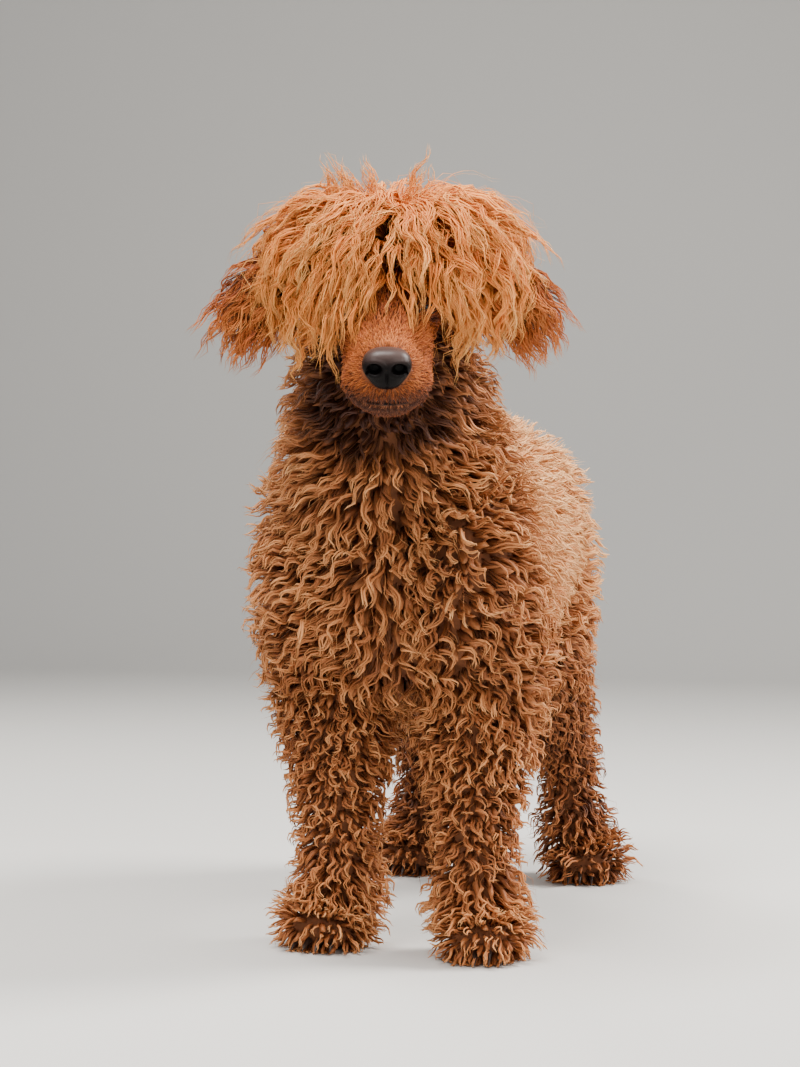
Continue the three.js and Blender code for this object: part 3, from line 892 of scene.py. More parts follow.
@dataclass
class Skin:
    """One seamless skin over the whole body, with lids, lips and the leather of the ears."""

    eyes: Eyes
    mouth: Mouth
    forms: list[Form]
    voxel: float = 4.4
    rings: int = 60
    sides: int = 40
    relax: int = 5
    lid_ball: tuple[int, int] = (32, 20)
    face_back: Band = (-32.0, -14.0)
    face_front: float = -150.0
    face_half: float = 60.0
    face_low: float = -90.0
    face_least: float = 0.3
    divisions: int = 2
    smoothing: int = 2
    lid_reach: float = 4.0
    lid_rim: Band = (0.6, 2.2)
    lid_swell: float = 0.5
    lid_open: Band = (-0.2, 0.9)
    eye_sunk: float = 2.5
    pinch: float = 0.2
    pinch_long: Band = (-96.0, -66.0)
    pinch_high: Band = (-56.0, -16.0)
    cleft_top: float = NOSE_PLACE[2] - 10
    cleft_front: float = -112.0
    cleft_wide: float = 1.5
    cleft_deep: float = 2.4
    cleft_dark: float = 0.8
    ear_start: float = 66.0
    ear_end: float = 128.0
    ear_fade: float = 20.0
    ear_back: float = 60.0
    ear_cup: float = 2.0
    flesh: tuple[str, ...] = (
        "head",
        "neck",
        "torso",
        "tail",
        "ear_left",
        "ear_right",
        "foreleg_left",
        "foreleg_right",
        "hindleg_left",
        "hindleg_right",
    )

    def build(self, material: Material) -> bpy.types.Object:
        """Joins the forms, refines the face, shapes it and dresses it."""
        skin = new_object("skin", self._joined())
        remesh = skin.modifiers.new("joined", "REMESH")
        remesh.mode = "VOXEL"
        remesh.voxel_size = self.voxel * MM
        relax = skin.modifiers.new("relaxed", "SMOOTH")
        relax.iterations = self.relax
        applied(skin, material)
        for _ in range(self.divisions):
            self._refine(skin.data)
        self._shape(skin.data)
        skin.data.shade_smooth()
        keep(skin, Slot.COAT, *self.flesh)
        return skin

    def _joined(self) -> Mesh:
        """All forms and the balls under the lids, as one mesh of overlapping shells."""
        points, faces, start = [], [], 0
        for form in self.forms:
            own, rows = form.closed(self.rings, self.sides)
            points.append(own)
            faces += [tuple(start + i for i in row) for row in rows]
            start += len(own)
        forms = bpy.data.meshes.new("forms")
        forms.from_pydata(DESIGN.place(np.vstack(points)).tolist(), [], faces)
        shell = bmesh.new()
        shell.from_mesh(forms)
        bpy.data.meshes.remove(forms)
        around_it, upward = self.lid_ball
        size = {"u_segments": around_it, "v_segments": upward, "radius": self.eyes.lid * MM}
        for _, sign in SIDES:
            place = Matrix.Translation(Vector(DESIGN.place(from_head(self.eyes.at(sign)))))
            bmesh.ops.create_uvsphere(shell, matrix=place, **size)
        bmesh.ops.recalc_face_normals(shell, faces=shell.faces)
        return made_mesh(shell, "skin")

    def _face_share(self, local: Array) -> Array:
        """How far points belong to the bare face, from 0 to 1, from their place in the head's frame."""
        x, y, z = local.T
        ahead = 1 - ease(y, *self.face_back)
        return ahead * (np.abs(x) < self.face_half) * (z > self.face_low) * (y > self.face_front)

    def _refine(self, mesh: Mesh) -> None:
        """Divides the faces of the face in four and smooths them."""
        local = to_head(DESIGN.drawing(points_of(mesh)))
        chosen = self._face_share(local) > self.face_least
        fine = bmesh.new()
        fine.from_mesh(mesh)
        fine.verts.ensure_lookup_table()
        edges = [e for e in fine.edges if chosen[e.verts[0].index] and chosen[e.verts[1].index]]
        bmesh.ops.subdivide_edges(fine, edges=edges, cuts=1, use_grid_fill=True)
        near = [v for v in fine.verts if v.index >= len(chosen) or chosen[v.index]]
        axes = {f"use_axis_{axis}": True for axis in "xyz"}
        for _ in range(self.smoothing):
            bmesh.ops.smooth_vert(fine, verts=near, factor=0.5, **axes)
        bmesh.ops.triangulate(fine, faces=[f for f in fine.faces if len(f.verts) > 4])
        fine.to_mesh(mesh)
        fine.free()

    def _shape(self, mesh: Mesh) -> None:
        """Shapes the lids, the mouth, the cleft under the nose and the cups of the ears."""
        local = to_head(DESIGN.drawing(points_of(mesh)))
        face = self._face_share(local)
        local, lids = self._lids(local)
        above = (1 - ease(local[:, 1], *self.pinch_long)) * ease(local[:, 2], *self.pinch_high)
        local[:, 0] *= 1 - self.pinch * above
        local, lips = self.mouth.pressed(local)
        x, y, z = local.T
        below = (z < self.cleft_top) * (z > self.mouth.high) * (y < self.cleft_front)
        cleft = below * bell(x, self.cleft_wide)
        local[:, 1] += self.cleft_deep * cleft
        cup = (np.abs(x) > self.ear_start) * ease(self.ear_end - np.abs(x), 0, self.ear_fade)
        cup = cup * (y < self.ear_back) * (z < 0)
        local[:, 2] += self.ear_cup * cup
        drawn = from_head(local)
        drawn[:, 2] = np.maximum(drawn[:, 2], SKIN_GAP)
        move_points(mesh, drawn)
        number_on(mesh, "lip", np.clip(np.max([lids, lips, self.cleft_dark * cleft], axis=0), 0, 1))
        number_on(mesh, "face", face)

    def _lids(self, local: Array) -> tuple[Array, Array]:
        """Lays the skin round the eyes on their lids and sinks it behind them.

        Args:
            local: Points in the head's frame.

        Returns:
            The moved points, and how far each is the dark rim of an eye, from 0 to 1.
        """
        dark = np.zeros(len(local))
        lid = self.eyes.lid
        for _, sign in SIDES:
            centre = self.eyes.at(sign)
            inside, away = self.eyes.open_share(local, sign)
            distance = np.linalg.norm(local - centre, axis=1)
            near = distance < lid + self.lid_reach
            rim = near * (1 - ease(np.abs(inside), *self.lid_rim))
            opened = near * ease(inside, *self.lid_open)
            radius = np.maximum(distance, lid * ease(-inside, self.lid_reach, 0.0) * near)
            sunk = (self.eyes.radius - self.eye_sunk) * opened
            radius = radius * (1 - opened) + sunk + self.lid_swell * rim
            local = np.where(near[:, None], centre + away * radius[:, None], local)
            dark = np.maximum(dark, np.maximum(rim, opened))
        return local, dark


# A strand's three corners round its line for a width of one, the share of its width at the root, how
# fast it widens from there, and how round its tip is
SECTION = ((0.5, -0.175), (-0.5, -0.175), (0.0, 0.35))
ROOT_WIDTH = 0.7
ROOT_GROWTH = 1.6
TIP_ROUND = 0.8


@dataclass
class Strands:
    """Hairs gathered in strands, ready to be made one mesh."""

    lines: Array
    width: Array
    facing: Array
    tone: Array
    warm: Array
    root: Array

    def chosen(self, mask: Array) -> "Strands":
        """Some of the strands."""
        return Strands(*(part[mask] for part in self.parts()))

    def parts(self) -> tuple[Array, ...]:
        """The arrays in order."""
        return self.lines, self.width, self.facing, self.tone, self.warm, self.root

    @staticmethod
    def joined(several: list["Strands"]) -> "Strands":
        """Several sets of strands with as many rings as one set."""
        return Strands(*(np.concatenate(parts) for parts in zip(*(s.parts() for s in several))))

    def mesh(self, name: str, point: float) -> Mesh:
        """Three-sided tapered tubes along the lines, closed at the root and pointed at the tip.

        Args:
            name: The mesh's name.
            point: How suddenly the strands narrow to their tips.

        Returns:
            The mesh, with its bake map, its own map along the strands and the shades of the strands.
        """
        share = np.linspace(0, 1, self.lines.shape[1])
        points = self._points(share, point)
        count, own, _ = points.shape
        faces, places = self._faces(share)
        sizes = np.array([len(face) for face in faces])
        loops = (np.concatenate(faces)[None] + own * np.arange(count)[:, None]).ravel()
        starts = np.concatenate([[0], np.cumsum(np.tile(sizes, count))[:-1]])
        mesh = bpy.data.meshes.new(name)
        mesh.vertices.add(count * own)
        mesh.vertices.foreach_set("co", DESIGN.place(points.reshape(-1, 3)).astype(np.float32).ravel())
        mesh.loops.add(len(loops))
        mesh.loops.foreach_set("vertex_index", loops.astype(np.int32))
        mesh.polygons.add(count * len(sizes))
        mesh.polygons.foreach_set("loop_start", starts.astype(np.int32))
        mesh.update(calc_edges=True)
        bake = np.clip(self.root[:, None] * (1 - PATCH) + places[None] * PATCH, 0, 1)
        for label, uv in ((BAKE_MAP, bake), (STRAND_MAP, np.tile(places, (count, 1)))):
            mesh.uv_layers.new(name=label).data.foreach_set("uv", uv.astype(np.float32).ravel())
        # The tone holds painted light and shade on the body and face, besides each strand's own shade
        number_on(mesh, "tone", np.repeat(self.tone, own))
        number_on(mesh, "warm", np.repeat(self.warm, own))
        mesh.shade_smooth()
        return mesh

    def _points(self, share: Array, point: float) -> Array:
        """The corners of each strand, ring by ring, and its tip: strands, points, axes."""
        along = unit(np.gradient(self.lines, axis=1))
        side = across_plane(np.cross(along[:, 0], self.facing), along[:, 0])
        taper = np.minimum(ROOT_WIDTH + ROOT_GROWTH * share, 1.0) * (1 - share**point) ** TIP_ROUND
        points = []
        for ring in range(len(share) - 1):
            side = across_plane(side, along[:, ring])
            ridge = np.cross(side, along[:, ring])
            size = (self.width * taper[ring])[:, None]
            middle = self.lines[:, ring]
            points += [middle + (side * level + ridge * high) * size for level, high in SECTION]
        points = np.stack([*points, self.lines[:, -1]], axis=1)
        points[..., 2] = np.maximum(points[..., 2], CORNER_GAP)
        return points

    @staticmethod
    def _faces(share: Array) -> tuple[list[list[int]], Array]:
        """The faces of one strand: four-sided along it, three-sided at its tip and root.

        Args:
            share: Where its rings stand, from 0 to 1.

        Returns:
            The faces, and the place of each of their corners on the strand's map.
        """
        faces, places = [], []
        for ring, (low, high) in enumerate(zip(share[:-2], share[1:-1])):
            for i in range(3):
                a, b = 3 * ring + i, 3 * ring + (i + 1) % 3
                left, right = i / 3, (i + 1) / 3
                faces.append([a, b, b + 3, a + 3])
                places += [(left, low), (right, low), (right, high), (left, high)]
        last, tip, high = 3 * (len(share) - 2), 3 * (len(share) - 1), share[-2]
        for i in range(3):
            faces.append([last + i, last + (i + 1) % 3, tip])
            places += [(i / 3, high), ((i + 1) / 3, high), ((i + 0.5) / 3, 1.0)]
        faces.append([2, 1, 0])
        places += [(0.0, 0.0), (0.5, 0.0), (1.0, 0.0)]
        return faces, np.array(places)


class Ground:
    """Places on the skin: which form they lie on, its axes, and the depth of the coat."""

    def __init__(self, forms: list[Form], rings: int = 40, sides: int = 28) -> None:
        """Samples the forms and keeps the samples in a search tree."""
        self.names = np.array([form.name for form in forms])
        shares, angles = around(rings, sides)
        parts = []
        for number, form in enumerate(forms):
            parts.append({**form.at(shares), "form": np.full(len(shares), number), "share": shares})
        self.parts = {key: np.concatenate([part[key] for part in parts]) for key in parts[0]}
        self.tree = search_tree(np.vstack([form.surface(shares, angles) for form in forms]))

    def nearest(self, points: Array) -> Array:
        """The nearest sample of each point."""
        return np.array([self.tree.find(point)[1] for point in points])

    def coat_depth(self, points: Array, count: int = 24, soft: float = 2.0) -> Array:
        """The depth of the coat at each point, blended over the nearest samples.

        Args:
            points: The points.
            count: Over how many samples it is blended.
            soft: Millimetres added to their distances, so that the nearest doesn't count for all.

        Returns:
            One depth for each point.
        """
        depth = np.empty(len(points))
        for row, point in enumerate(points):
            _, index, distance = zip(*self.tree.find_n(point, count))
            weight = 1 / (np.array(distance) + soft) ** 2
            depth[row] = np.sum(self.parts["coat"][list(index)] * weight) / weight.sum()
        return depth

    def unwrap(self, points: Array, samples: Array | None = None) -> Array:
        """Places on an unwrap of the skin.

        Args:
            points: The points.
            samples: The sample that each belongs to, or else the nearest one.

        Returns:
            For each point, its place round its form and along it, each from 0 to 1, and its form.
        """
        samples = self.nearest(points) if samples is None else samples
        part = {key: values[samples] for key, values in self.parts.items()}
        away = points - part["centre"]
        level = np.sum(away * part["side"], axis=1) / part["wide"]
        deep = np.sum(away * part["front"], axis=1) / part["deep"]
        along = part["share"] + np.sum(away * part["along"], axis=1) / part["speed"]
        return np.stack([np.arctan2(deep, level) / TURN + 0.5, np.clip(along, 0, 1), part["form"]], axis=1)


class Scatter:
    """Even random places on the skin."""

    tries: float = 3.2

    def __init__(self, skin: bpy.types.Object, ground: Ground) -> None:
        """Reads the skin's triangles and smooth normals in the drawing's frame, and the form of each."""
        mesh = skin.data
        mesh.calc_loop_triangles()
        corners = np.empty(len(mesh.loop_triangles) * 3, np.int32)
        mesh.loop_triangles.foreach_get("vertices", corners)
        normals = np.empty(len(mesh.vertices) * 3, np.float32)
        mesh.vertices.foreach_get("normal", normals)
        self.corners = corners.reshape(-1, 3)
        self.points = DESIGN.drawing(points_of(mesh))
        self.normals = normals.reshape(-1, 3).astype(float)
        a, b, c = (self.points[self.corners[:, i]] for i in range(3))
        self.areas = np.linalg.norm(np.cross(b - a, c - a), axis=1) / 2
        self.middles = (a + b + c) / 3
        self.names = ground.names[ground.parts["form"][ground.nearest(self.middles)]]

    def places(self, spacing: float, wanted: Array, seed: int) -> tuple[Array, Array]:
        """Even random places with at least about a given spacing.

        Args:
            spacing: Least distance between places.
            wanted: Which triangles carry them.
            seed: Seed of the draw.

        Returns:
            Points and normals.
        """
        draw = np.random.default_rng(seed)
        areas = self.areas * wanted
        tries = int(self.tries * areas.sum() / spacing**2)
        chosen = draw.choice(len(areas), tries, p=areas / areas.sum())
        first, second = draw.random((2, tries))
        flip = first + second > 1
        first, second = np.where(flip, 1 - first, first), np.where(flip, 1 - second, second)
        weights = np.stack([1 - first - second, first, second], axis=1)[:, :, None]
        points = (self.points[self.corners[chosen]] * weights).sum(axis=1)
        normals = unit((self.normals[self.corners[chosen]] * weights).sum(axis=1))
        kept = self.thinned(points, spacing)
        return points[kept], normals[kept]

    @staticmethod
    def thinned(points: Array, spacing: float) -> Array:
        """The indices of points that keep the spacing from those kept before them."""
        cells: dict[tuple[int, int, int], list[list[float]]] = {}
        keys = np.floor(points / spacing).astype(int)
        steps = [(i, j, k) for i in (-1, 0, 1) for j in (-1, 0, 1) for k in (-1, 0, 1)]
        kept, least = [], spacing**2
        for index, ((x, y, z), point) in enumerate(zip(keys.tolist(), points.tolist())):
            px, py, pz = point
            near = (other for i, j, k in steps for other in cells.get((x + i, y + j, z + k), ()))
            if all((px - ox) ** 2 + (py - oy) ** 2 + (pz - oz) ** 2 >= least for ox, oy, oz in near):
                cells.setdefault((x, y, z), []).append(point)
                kept.append(index)
        return np.array(kept)


@dataclass(frozen=True)
class Lay:
    """How the locks of one layer are made; lengths in millimetres and angles in degrees.

    Locks stand a spacing apart and lean from the first lift to the second. Their strands start in a bunch,
    gather towards the tips, wave, and wander by the frizz. Neighbours in a clump pull together. The share
    of the coat's depth is their length, and the steps are where their rings stand.
    """

    spacing: float
    strands: int
    width: float
    lift: Band
    wave: float
    wave_length: float
    gather: float
    frizz: float
    bunch: float
    clump: float
    pull: float
    share: float = 1.0
    steps: tuple[float, ...] = (0, 0.34, 0.46, 0.56, 0.65, 0.74, 0.83, 0.92, 1)


@dataclass(frozen=True)
class Style:
    """How the locks of one part of the head are made; lengths in millimetres."""

    strands: int
    width: float
    bunch: float
    gather: float
    frizz: float
    wave: float
    wave_length: float


@dataclass
class Planting:
    """Where locks grow, one a row, and what they are like there."""

    roots: Array
    normals: Array
    flow: Array
    depth: Array
    curl: Array
    # Each lock's tone: its own shade plus painted light and shade by place
    tone: Array
    warm: Array


# Strands in their lock: the least share of the bunch that they start out at, where along them they
# gather and wander, how often they wander, and how long they are against the lock
INNERMOST = 0.02
GATHERED = (0.15, 1.0)
WANDERING = (0.1, 1.0)
WANDERS = (1.2, 2.6)
STRAND_LENGTHS = (0.78, 1.04)


def spread_strands(
    lines: Array, sides: Array, ridges: Array, lay: Lay | Style, draw: Draw
) -> Array:
    """Strands beside the lines of their locks, which gather towards the tips and wander a little.

    Args:
        lines: The line of each lock: locks, rings, axes.
        sides: Directions across each lock along its line, in the same shape.
        ridges: Directions out of each lock, in the same shape.
        lay: How many strands a lock has, how far apart they start and how they gather and wander.
        draw: The random draw.

    Returns:
        Lines of strands: strands, rings, axes.
    """
    count, rings, _ = lines.shape
    many, shares = lay.strands, np.linspace(0, 1, rings)
    spin = draw.uniform(0, TURN, (count, many))
    apart = lay.bunch * np.sqrt(draw.uniform(INNERMOST, 1, (count, many)))
    close = 1 - lay.gather * ease(shares, *GATHERED)
    drift = draw.uniform(0, TURN, (count, many, 2, 1))
    quick = TURN * shares * draw.uniform(*WANDERS, (count, many, 1, 1))
    loose = lay.frizz * ease(shares, *WANDERING) * np.sin(drift + quick)
    level = (apart * np.cos(spin))[..., None] * close + loose[:, :, 0]
    deep = (apart * np.sin(spin))[..., None] * close + loose[:, :, 1]
    short = draw.uniform(*STRAND_LENGTHS, (count, many))
    place = np.clip(shares * short[..., None], 0, 1) * (rings - 1)
    index = np.minimum(place.astype(int), rings - 2)
    share = (place - index)[..., None]
    row = np.arange(count)[:, None, None]
    grown = lines[row, index] * (1 - share) + lines[row, index + 1] * share
    grown = grown + sides[:, None] * level[..., None] + ridges[:, None] * deep[..., None]
    return grown.reshape(-1, rings, 3)


@dataclass
class Locks:
    """Grows locks of wavy strands from places on the skin."""

    ground: Ground
    draw: Draw
    sunk: float = 1.5
    lean_spread: Band = (8.0, 12.0)
    least_rise: float = 0.6
    lengths: Band = (0.86, 1.06)
    swing: Band = (0.34, 0.16)
    fine_steps: int = 25
    pulled: Band = (0.1, 0.9)
    phase_spread: float = 0.6
    wave_lengths: Band = (0.75, 1.3)
    waves: Band = (0.7, 1.3)
    waved: Band = (0.1, 0.55)
    shades: Band = (0.1, 0.07)
    widths: Band = (0.4, 1.3)

    @staticmethod
    def _clumps(points: Array, spacing: float) -> tuple[Array, Array]:
        """Gathers places in clumps.

        Args:
            points: The places.
            spacing: Least distance between the middles of clumps.

        Returns:
            The number of each place's clump, and the middle of that clump.
        """
        middles = points[Scatter.thinned(points, spacing)]
        tree = search_tree(middles)
        clump = np.array([tree.find(point)[1] for point in points])
        return clump, middles[clump]

    def _side_view(self, low: Array, high: Array, length: Array, shares: Array) -> tuple[Array, Array, Array]:
        """Locks that leave the skin at one angle and end at another, seen from the side.

        Args:
            low: The angle between each lock and the skin's normal at its root.
            high: The same at its tip.
            length: Its length.
            shares: Where its rings stand.

        Returns:
            For each ring, the way up from the skin, the way along it, and the angle.
        """
        fine = np.linspace(0, 1, self.fine_steps)
        angle = low[:, None] + (high - low)[:, None] * fine
        step = length[:, None] / (len(fine) - 1)
        start = np.zeros((len(low), 1))
        ways = [np.cumsum(way(angle[:, 1:]) * step, axis=1) for way in (np.cos, np.sin)]
        tables = [*(np.concatenate([start, way], axis=1) for way in ways), angle]
        up, on, angle = (np.stack([np.interp(shares, fine, row) for row in table]) for table in tables)
        return up, on, angle

    def grow(self, planting: Planting, lay: Lay) -> Strands:
        """Locks whose line rises from the skin and bends over along the lie of the coat.

        Args:
            planting: Where the locks grow.
            lay: How the locks are made.

        Returns:
            The strands of all the locks.
        """
        draw, roots, normals = self.draw, planting.roots, planting.normals
        count, many, shares = len(roots), lay.strands, np.array(lay.steps)
        clump, middle = self._clumps(roots, lay.clump)
        clumps = int(clump.max()) + 1
        leans = zip(lay.lift, self.lean_spread)
        low, high = (np.radians(lift + draw.normal(0, spread, count)) for lift, spread in leans)
        rise = np.maximum(np.cos((low + high) / 2), self.least_rise)
        length = lay.share * planting.depth * draw.uniform(*self.lengths, count) / rise
        flow = across_plane(planting.flow, normals)
        swing = draw.normal(0, self.swing[0], clumps)[clump] + draw.normal(0, self.swing[1], count)
        flow = unit(flow + np.cross(normals, flow) * swing[:, None])
        side = np.cross(normals, flow)
        up, on, angle = self._side_view(low, high, length, shares)
        gap = middle - roots
        gap -= normals * np.sum(gap * normals, axis=1, keepdims=True)
        inward = flow[:, None] * np.cos(angle)[..., None] - normals[:, None] * np.sin(angle)[..., None]
        line = roots[:, None] + normals[:, None] * up[..., None] + flow[:, None] * on[..., None]
        line += gap[:, None] * (lay.pull * ease(shares, *self.pulled))[:, None]
        phase = draw.uniform(0, TURN, clumps)[clump] + draw.normal(0, self.phase_spread, count)
        wave = lay.wave_length * draw.uniform(*self.wave_lengths, clumps)[clump]
        hand = draw.choice([-1, 1], clumps)[clump]
        bend = (phase[:, None] + TURN * length[:, None] * shares / wave[:, None]) * hand[:, None]
        reach = lay.wave * planting.curl * draw.uniform(*self.waves, count)
        reach = reach[:, None] * ease(shares, *self.waved)
        line += side[:, None] * (reach * np.cos(bend))[..., None] + inward * (reach * np.sin(bend))[..., None]
        sides = np.broadcast_to(side[:, None], line.shape)
        lines = spread_strands(line, sides, inward, lay, draw)
        place = self.ground.unwrap(lines[:, 0], np.repeat(self.ground.nearest(roots), many))
        facing = np.repeat(normals, many, axis=0)
        lines[:, 0] -= facing * self.sunk
        shade = planting.tone + draw.normal(0, self.shades[0], clumps)[clump]
        tone = np.repeat(shade, many) + draw.normal(0, self.shades[1], count * many)
        width = lay.width * draw.uniform(*self.widths, count * many)
        return Strands(lines, width, facing, tone, np.repeat(planting.warm, many), place)


@dataclass(frozen=True)
class Throat:
    """The throat under the chin, where the coat is short and lies in the shade."""

    middle: float = 6.0
    half: float = 44.0
    high: Band = (486.0, 522.0)
    back: float = -60.0

    def share(self, points: Array) -> Array:
        """How far points lie on the throat, from 0 to 1."""
        x, y, z = points.T
        return bell(x - self.middle, self.half) * ease(z, *self.high) * (y < self.back)


@dataclass(frozen=True)
class Lie:
    """Which way the coat lies, how curly and how long it is, from place to place on the body."""

    throat: Throat = Throat()
    tail: Place = (0.0, 0.15, -1.0)
    back: Place = (0.9, 0.85, -0.75)
    chest: Place = (1.6, -0.1, -1.0)
    chest_long: Band = (-70.0, 60.0)
    chest_top: Band = (440.0, 500.0)
    chest_lift: float = 0.6
    trunk_half: float = 95.0
    most_out: float = 1.2
    leg_middle: float = 76.0
    leg_splay: float = 90.0
    toes: Band = (20.0, 62.0)
    toes_ahead: float = -0.9
    foot_curl: float = 0.6
    leg_curl: float = 0.5
    leg_curled: Band = (20.0, 90.0)
    loose_curl: float = 0.7
    chest_curl: float = 0.7
    chest_curled: Band = (290.0, 430.0)
    back_straight: float = 0.3
    back_long: Band = (0.0, 160.0)
    cuff: float = 0.4
    cuff_low: Band = (14.0, 40.0)
    cuff_high: Band = (84.0, 112.0)
    throat_short: float = 0.5

    def flow(self, points: Array, name: str) -> Array:
        """The lie of the coat: back and down on the trunk, down and outward in front, down the legs."""
        x, y, z = points.T
        one = np.ones(len(points))
        if name == "tail":
            return np.outer(one, self.tail)
        if "leg" in name:
            out = (x - np.where(x > 0, 1, -1) * self.leg_middle) / self.leg_splay
            return np.column_stack([out, self.toes_ahead * (1 - ease(z, *self.toes)), -one])
        front = 1 - ease(y, *self.chest_long)[:, None]
        out = np.clip(x / self.trunk_half, -self.most_out, self.most_out)
        way = np.column_stack([out, one, one])
        back, chest = way * self.back, way * self.chest
        chest[:, 2] += self.chest_lift * ease(z, *self.chest_top)
        return chest * front + back * (1 - front)

    def curl(self, points: Array, name: str) -> Array:
        """Curlier low on the chest and on the legs, looser on the back and feet."""
        _, y, z = points.T
        if "leg" in name:
            return self.foot_curl + self.leg_curl * ease(z, *self.leg_curled)
        chest = self.loose_curl + self.chest_curl * (1 - ease(z, *self.chest_curled))
        return chest * (1 - self.back_straight * ease(y, *self.back_long))

    def longer(self, points: Array, name: str) -> Array:
        """How much longer the coat is than its depth: less on the throat, more where it falls on feet."""
        if "leg" in name:
            z = points[:, 2]
            return 1 + self.cuff * ease(z, *self.cuff_low) * (1 - ease(z, *self.cuff_high))
        return 1 - self.throat_short * self.throat.share(points)


@dataclass(frozen=True)
class PaintedLightAndRust:
    """Painted light and shade on the coat, and how rusty it is, from place to place on the body."""

    throat: Throat = Throat()
    # Painted light along the back and the upper flanks
    flank: float = 0.5
    flank_long: Band = (-30.0, 130.0)
    flank_high: Band = (300.0, 370.0)
    # Painted light on coat that faces up
    above: float = 0.12
    foot: float = 0.18
    foot_high: Band = (40.0, 100.0)
    # Painted shade low at the back of the body, on the hind legs and belly
    under: float = 0.55
    under_long: Band = (150.0, 260.0)
    under_high: Band = (180.0, 330.0)
    # Painted shade under the chin
    throat_painted_shade: float = 2.7
    rust: float = 0.16
    low_rust: float = 0.3
    rusty: Band = (120.0, 420.0)

    def light(self, points: Array, normals: Array) -> Array:
        """Paler along the back and the flanks and on coat that faces up, which is painted light; paler on the
        feet; darker under the throat and belly, which is painted shade.
        """
        _, y, z = points.T
        flank = ease(y, *self.flank_long) * ease(z, *self.flank_high)
        under = ease(y, *self.under_long) * (1 - ease(z, *self.under_high))
        foot = 1 - ease(z, *self.foot_high)
        pale = self.above * normals[:, 2] + self.flank * flank + self.foot * foot
        return pale - self.under * under - self.throat_painted_shade * self.throat.share(points)

    def warm(self, points: Array) -> Array:
        """Rustier low on the legs and under the body."""
        return self.rust + self.low_rust * (1 - ease(points[:, 2], *self.rusty))


FLEECE = Lay(
    spacing=9.0,
    strands=4,
    width=2.9,
    lift=(12, 54),
    wave=4.0,
    wave_length=26.0,
    gather=0.6,
    frizz=1.2,
    bunch=5.0,
    clump=19.0,
    pull=0.34,
)
WOOL = Lay(
    spacing=7.3,
    strands=3,
    width=2.8,
    lift=(14, 54),
    wave=3.0,
    wave_length=18.5,
    gather=0.5,
    frizz=1.1,
    bunch=4.2,
    clump=15.0,
    pull=0.2,
)
PAW_HAIR = Lay(
    spacing=5.5,
    strands=2,
    width=2.9,
    lift=(10, 50),
    wave=2.4,
    wave_length=24.0,
    gather=0.5,
    frizz=1.0,
    bunch=3.4,
    clump=13.0,
    pull=0.12,
)
UNDERCOAT = Lay(
    spacing=8.2,
    strands=1,
    width=9.0,
    lift=(10, 44),
    wave=1.8,
    wave_length=26.0,
    gather=0.0,
    frizz=0.6,
    bunch=1.0,
    clump=17.0,
    pull=0.3,
    share=0.66,
    steps=(0, 0.36, 0.7, 1),
)
LEG_UNDERCOAT = Lay(
    spacing=6.2,
    strands=1,
    width=6.4,
    lift=(14, 50),
    wave=2.2,
    wave_length=20.0,
    gather=0.0,
    frizz=0.6,
    bunch=1.0,
    clump=13.0,
    pull=0.0,
    share=0.7,
    steps=(0, 0.36, 0.7, 1),
)
FUZZ = Lay(
    spacing=15.0,
    strands=2,
    width=0.8,
    lift=(8, 50),
    wave=3.4,
    wave_length=30.0,
    gather=0.0,
    frizz=5.0,
    bunch=7.0,
    clump=12.0,
    pull=0.0,
    share=1.08,
    steps=(0, 0.55, 0.78, 1),
)


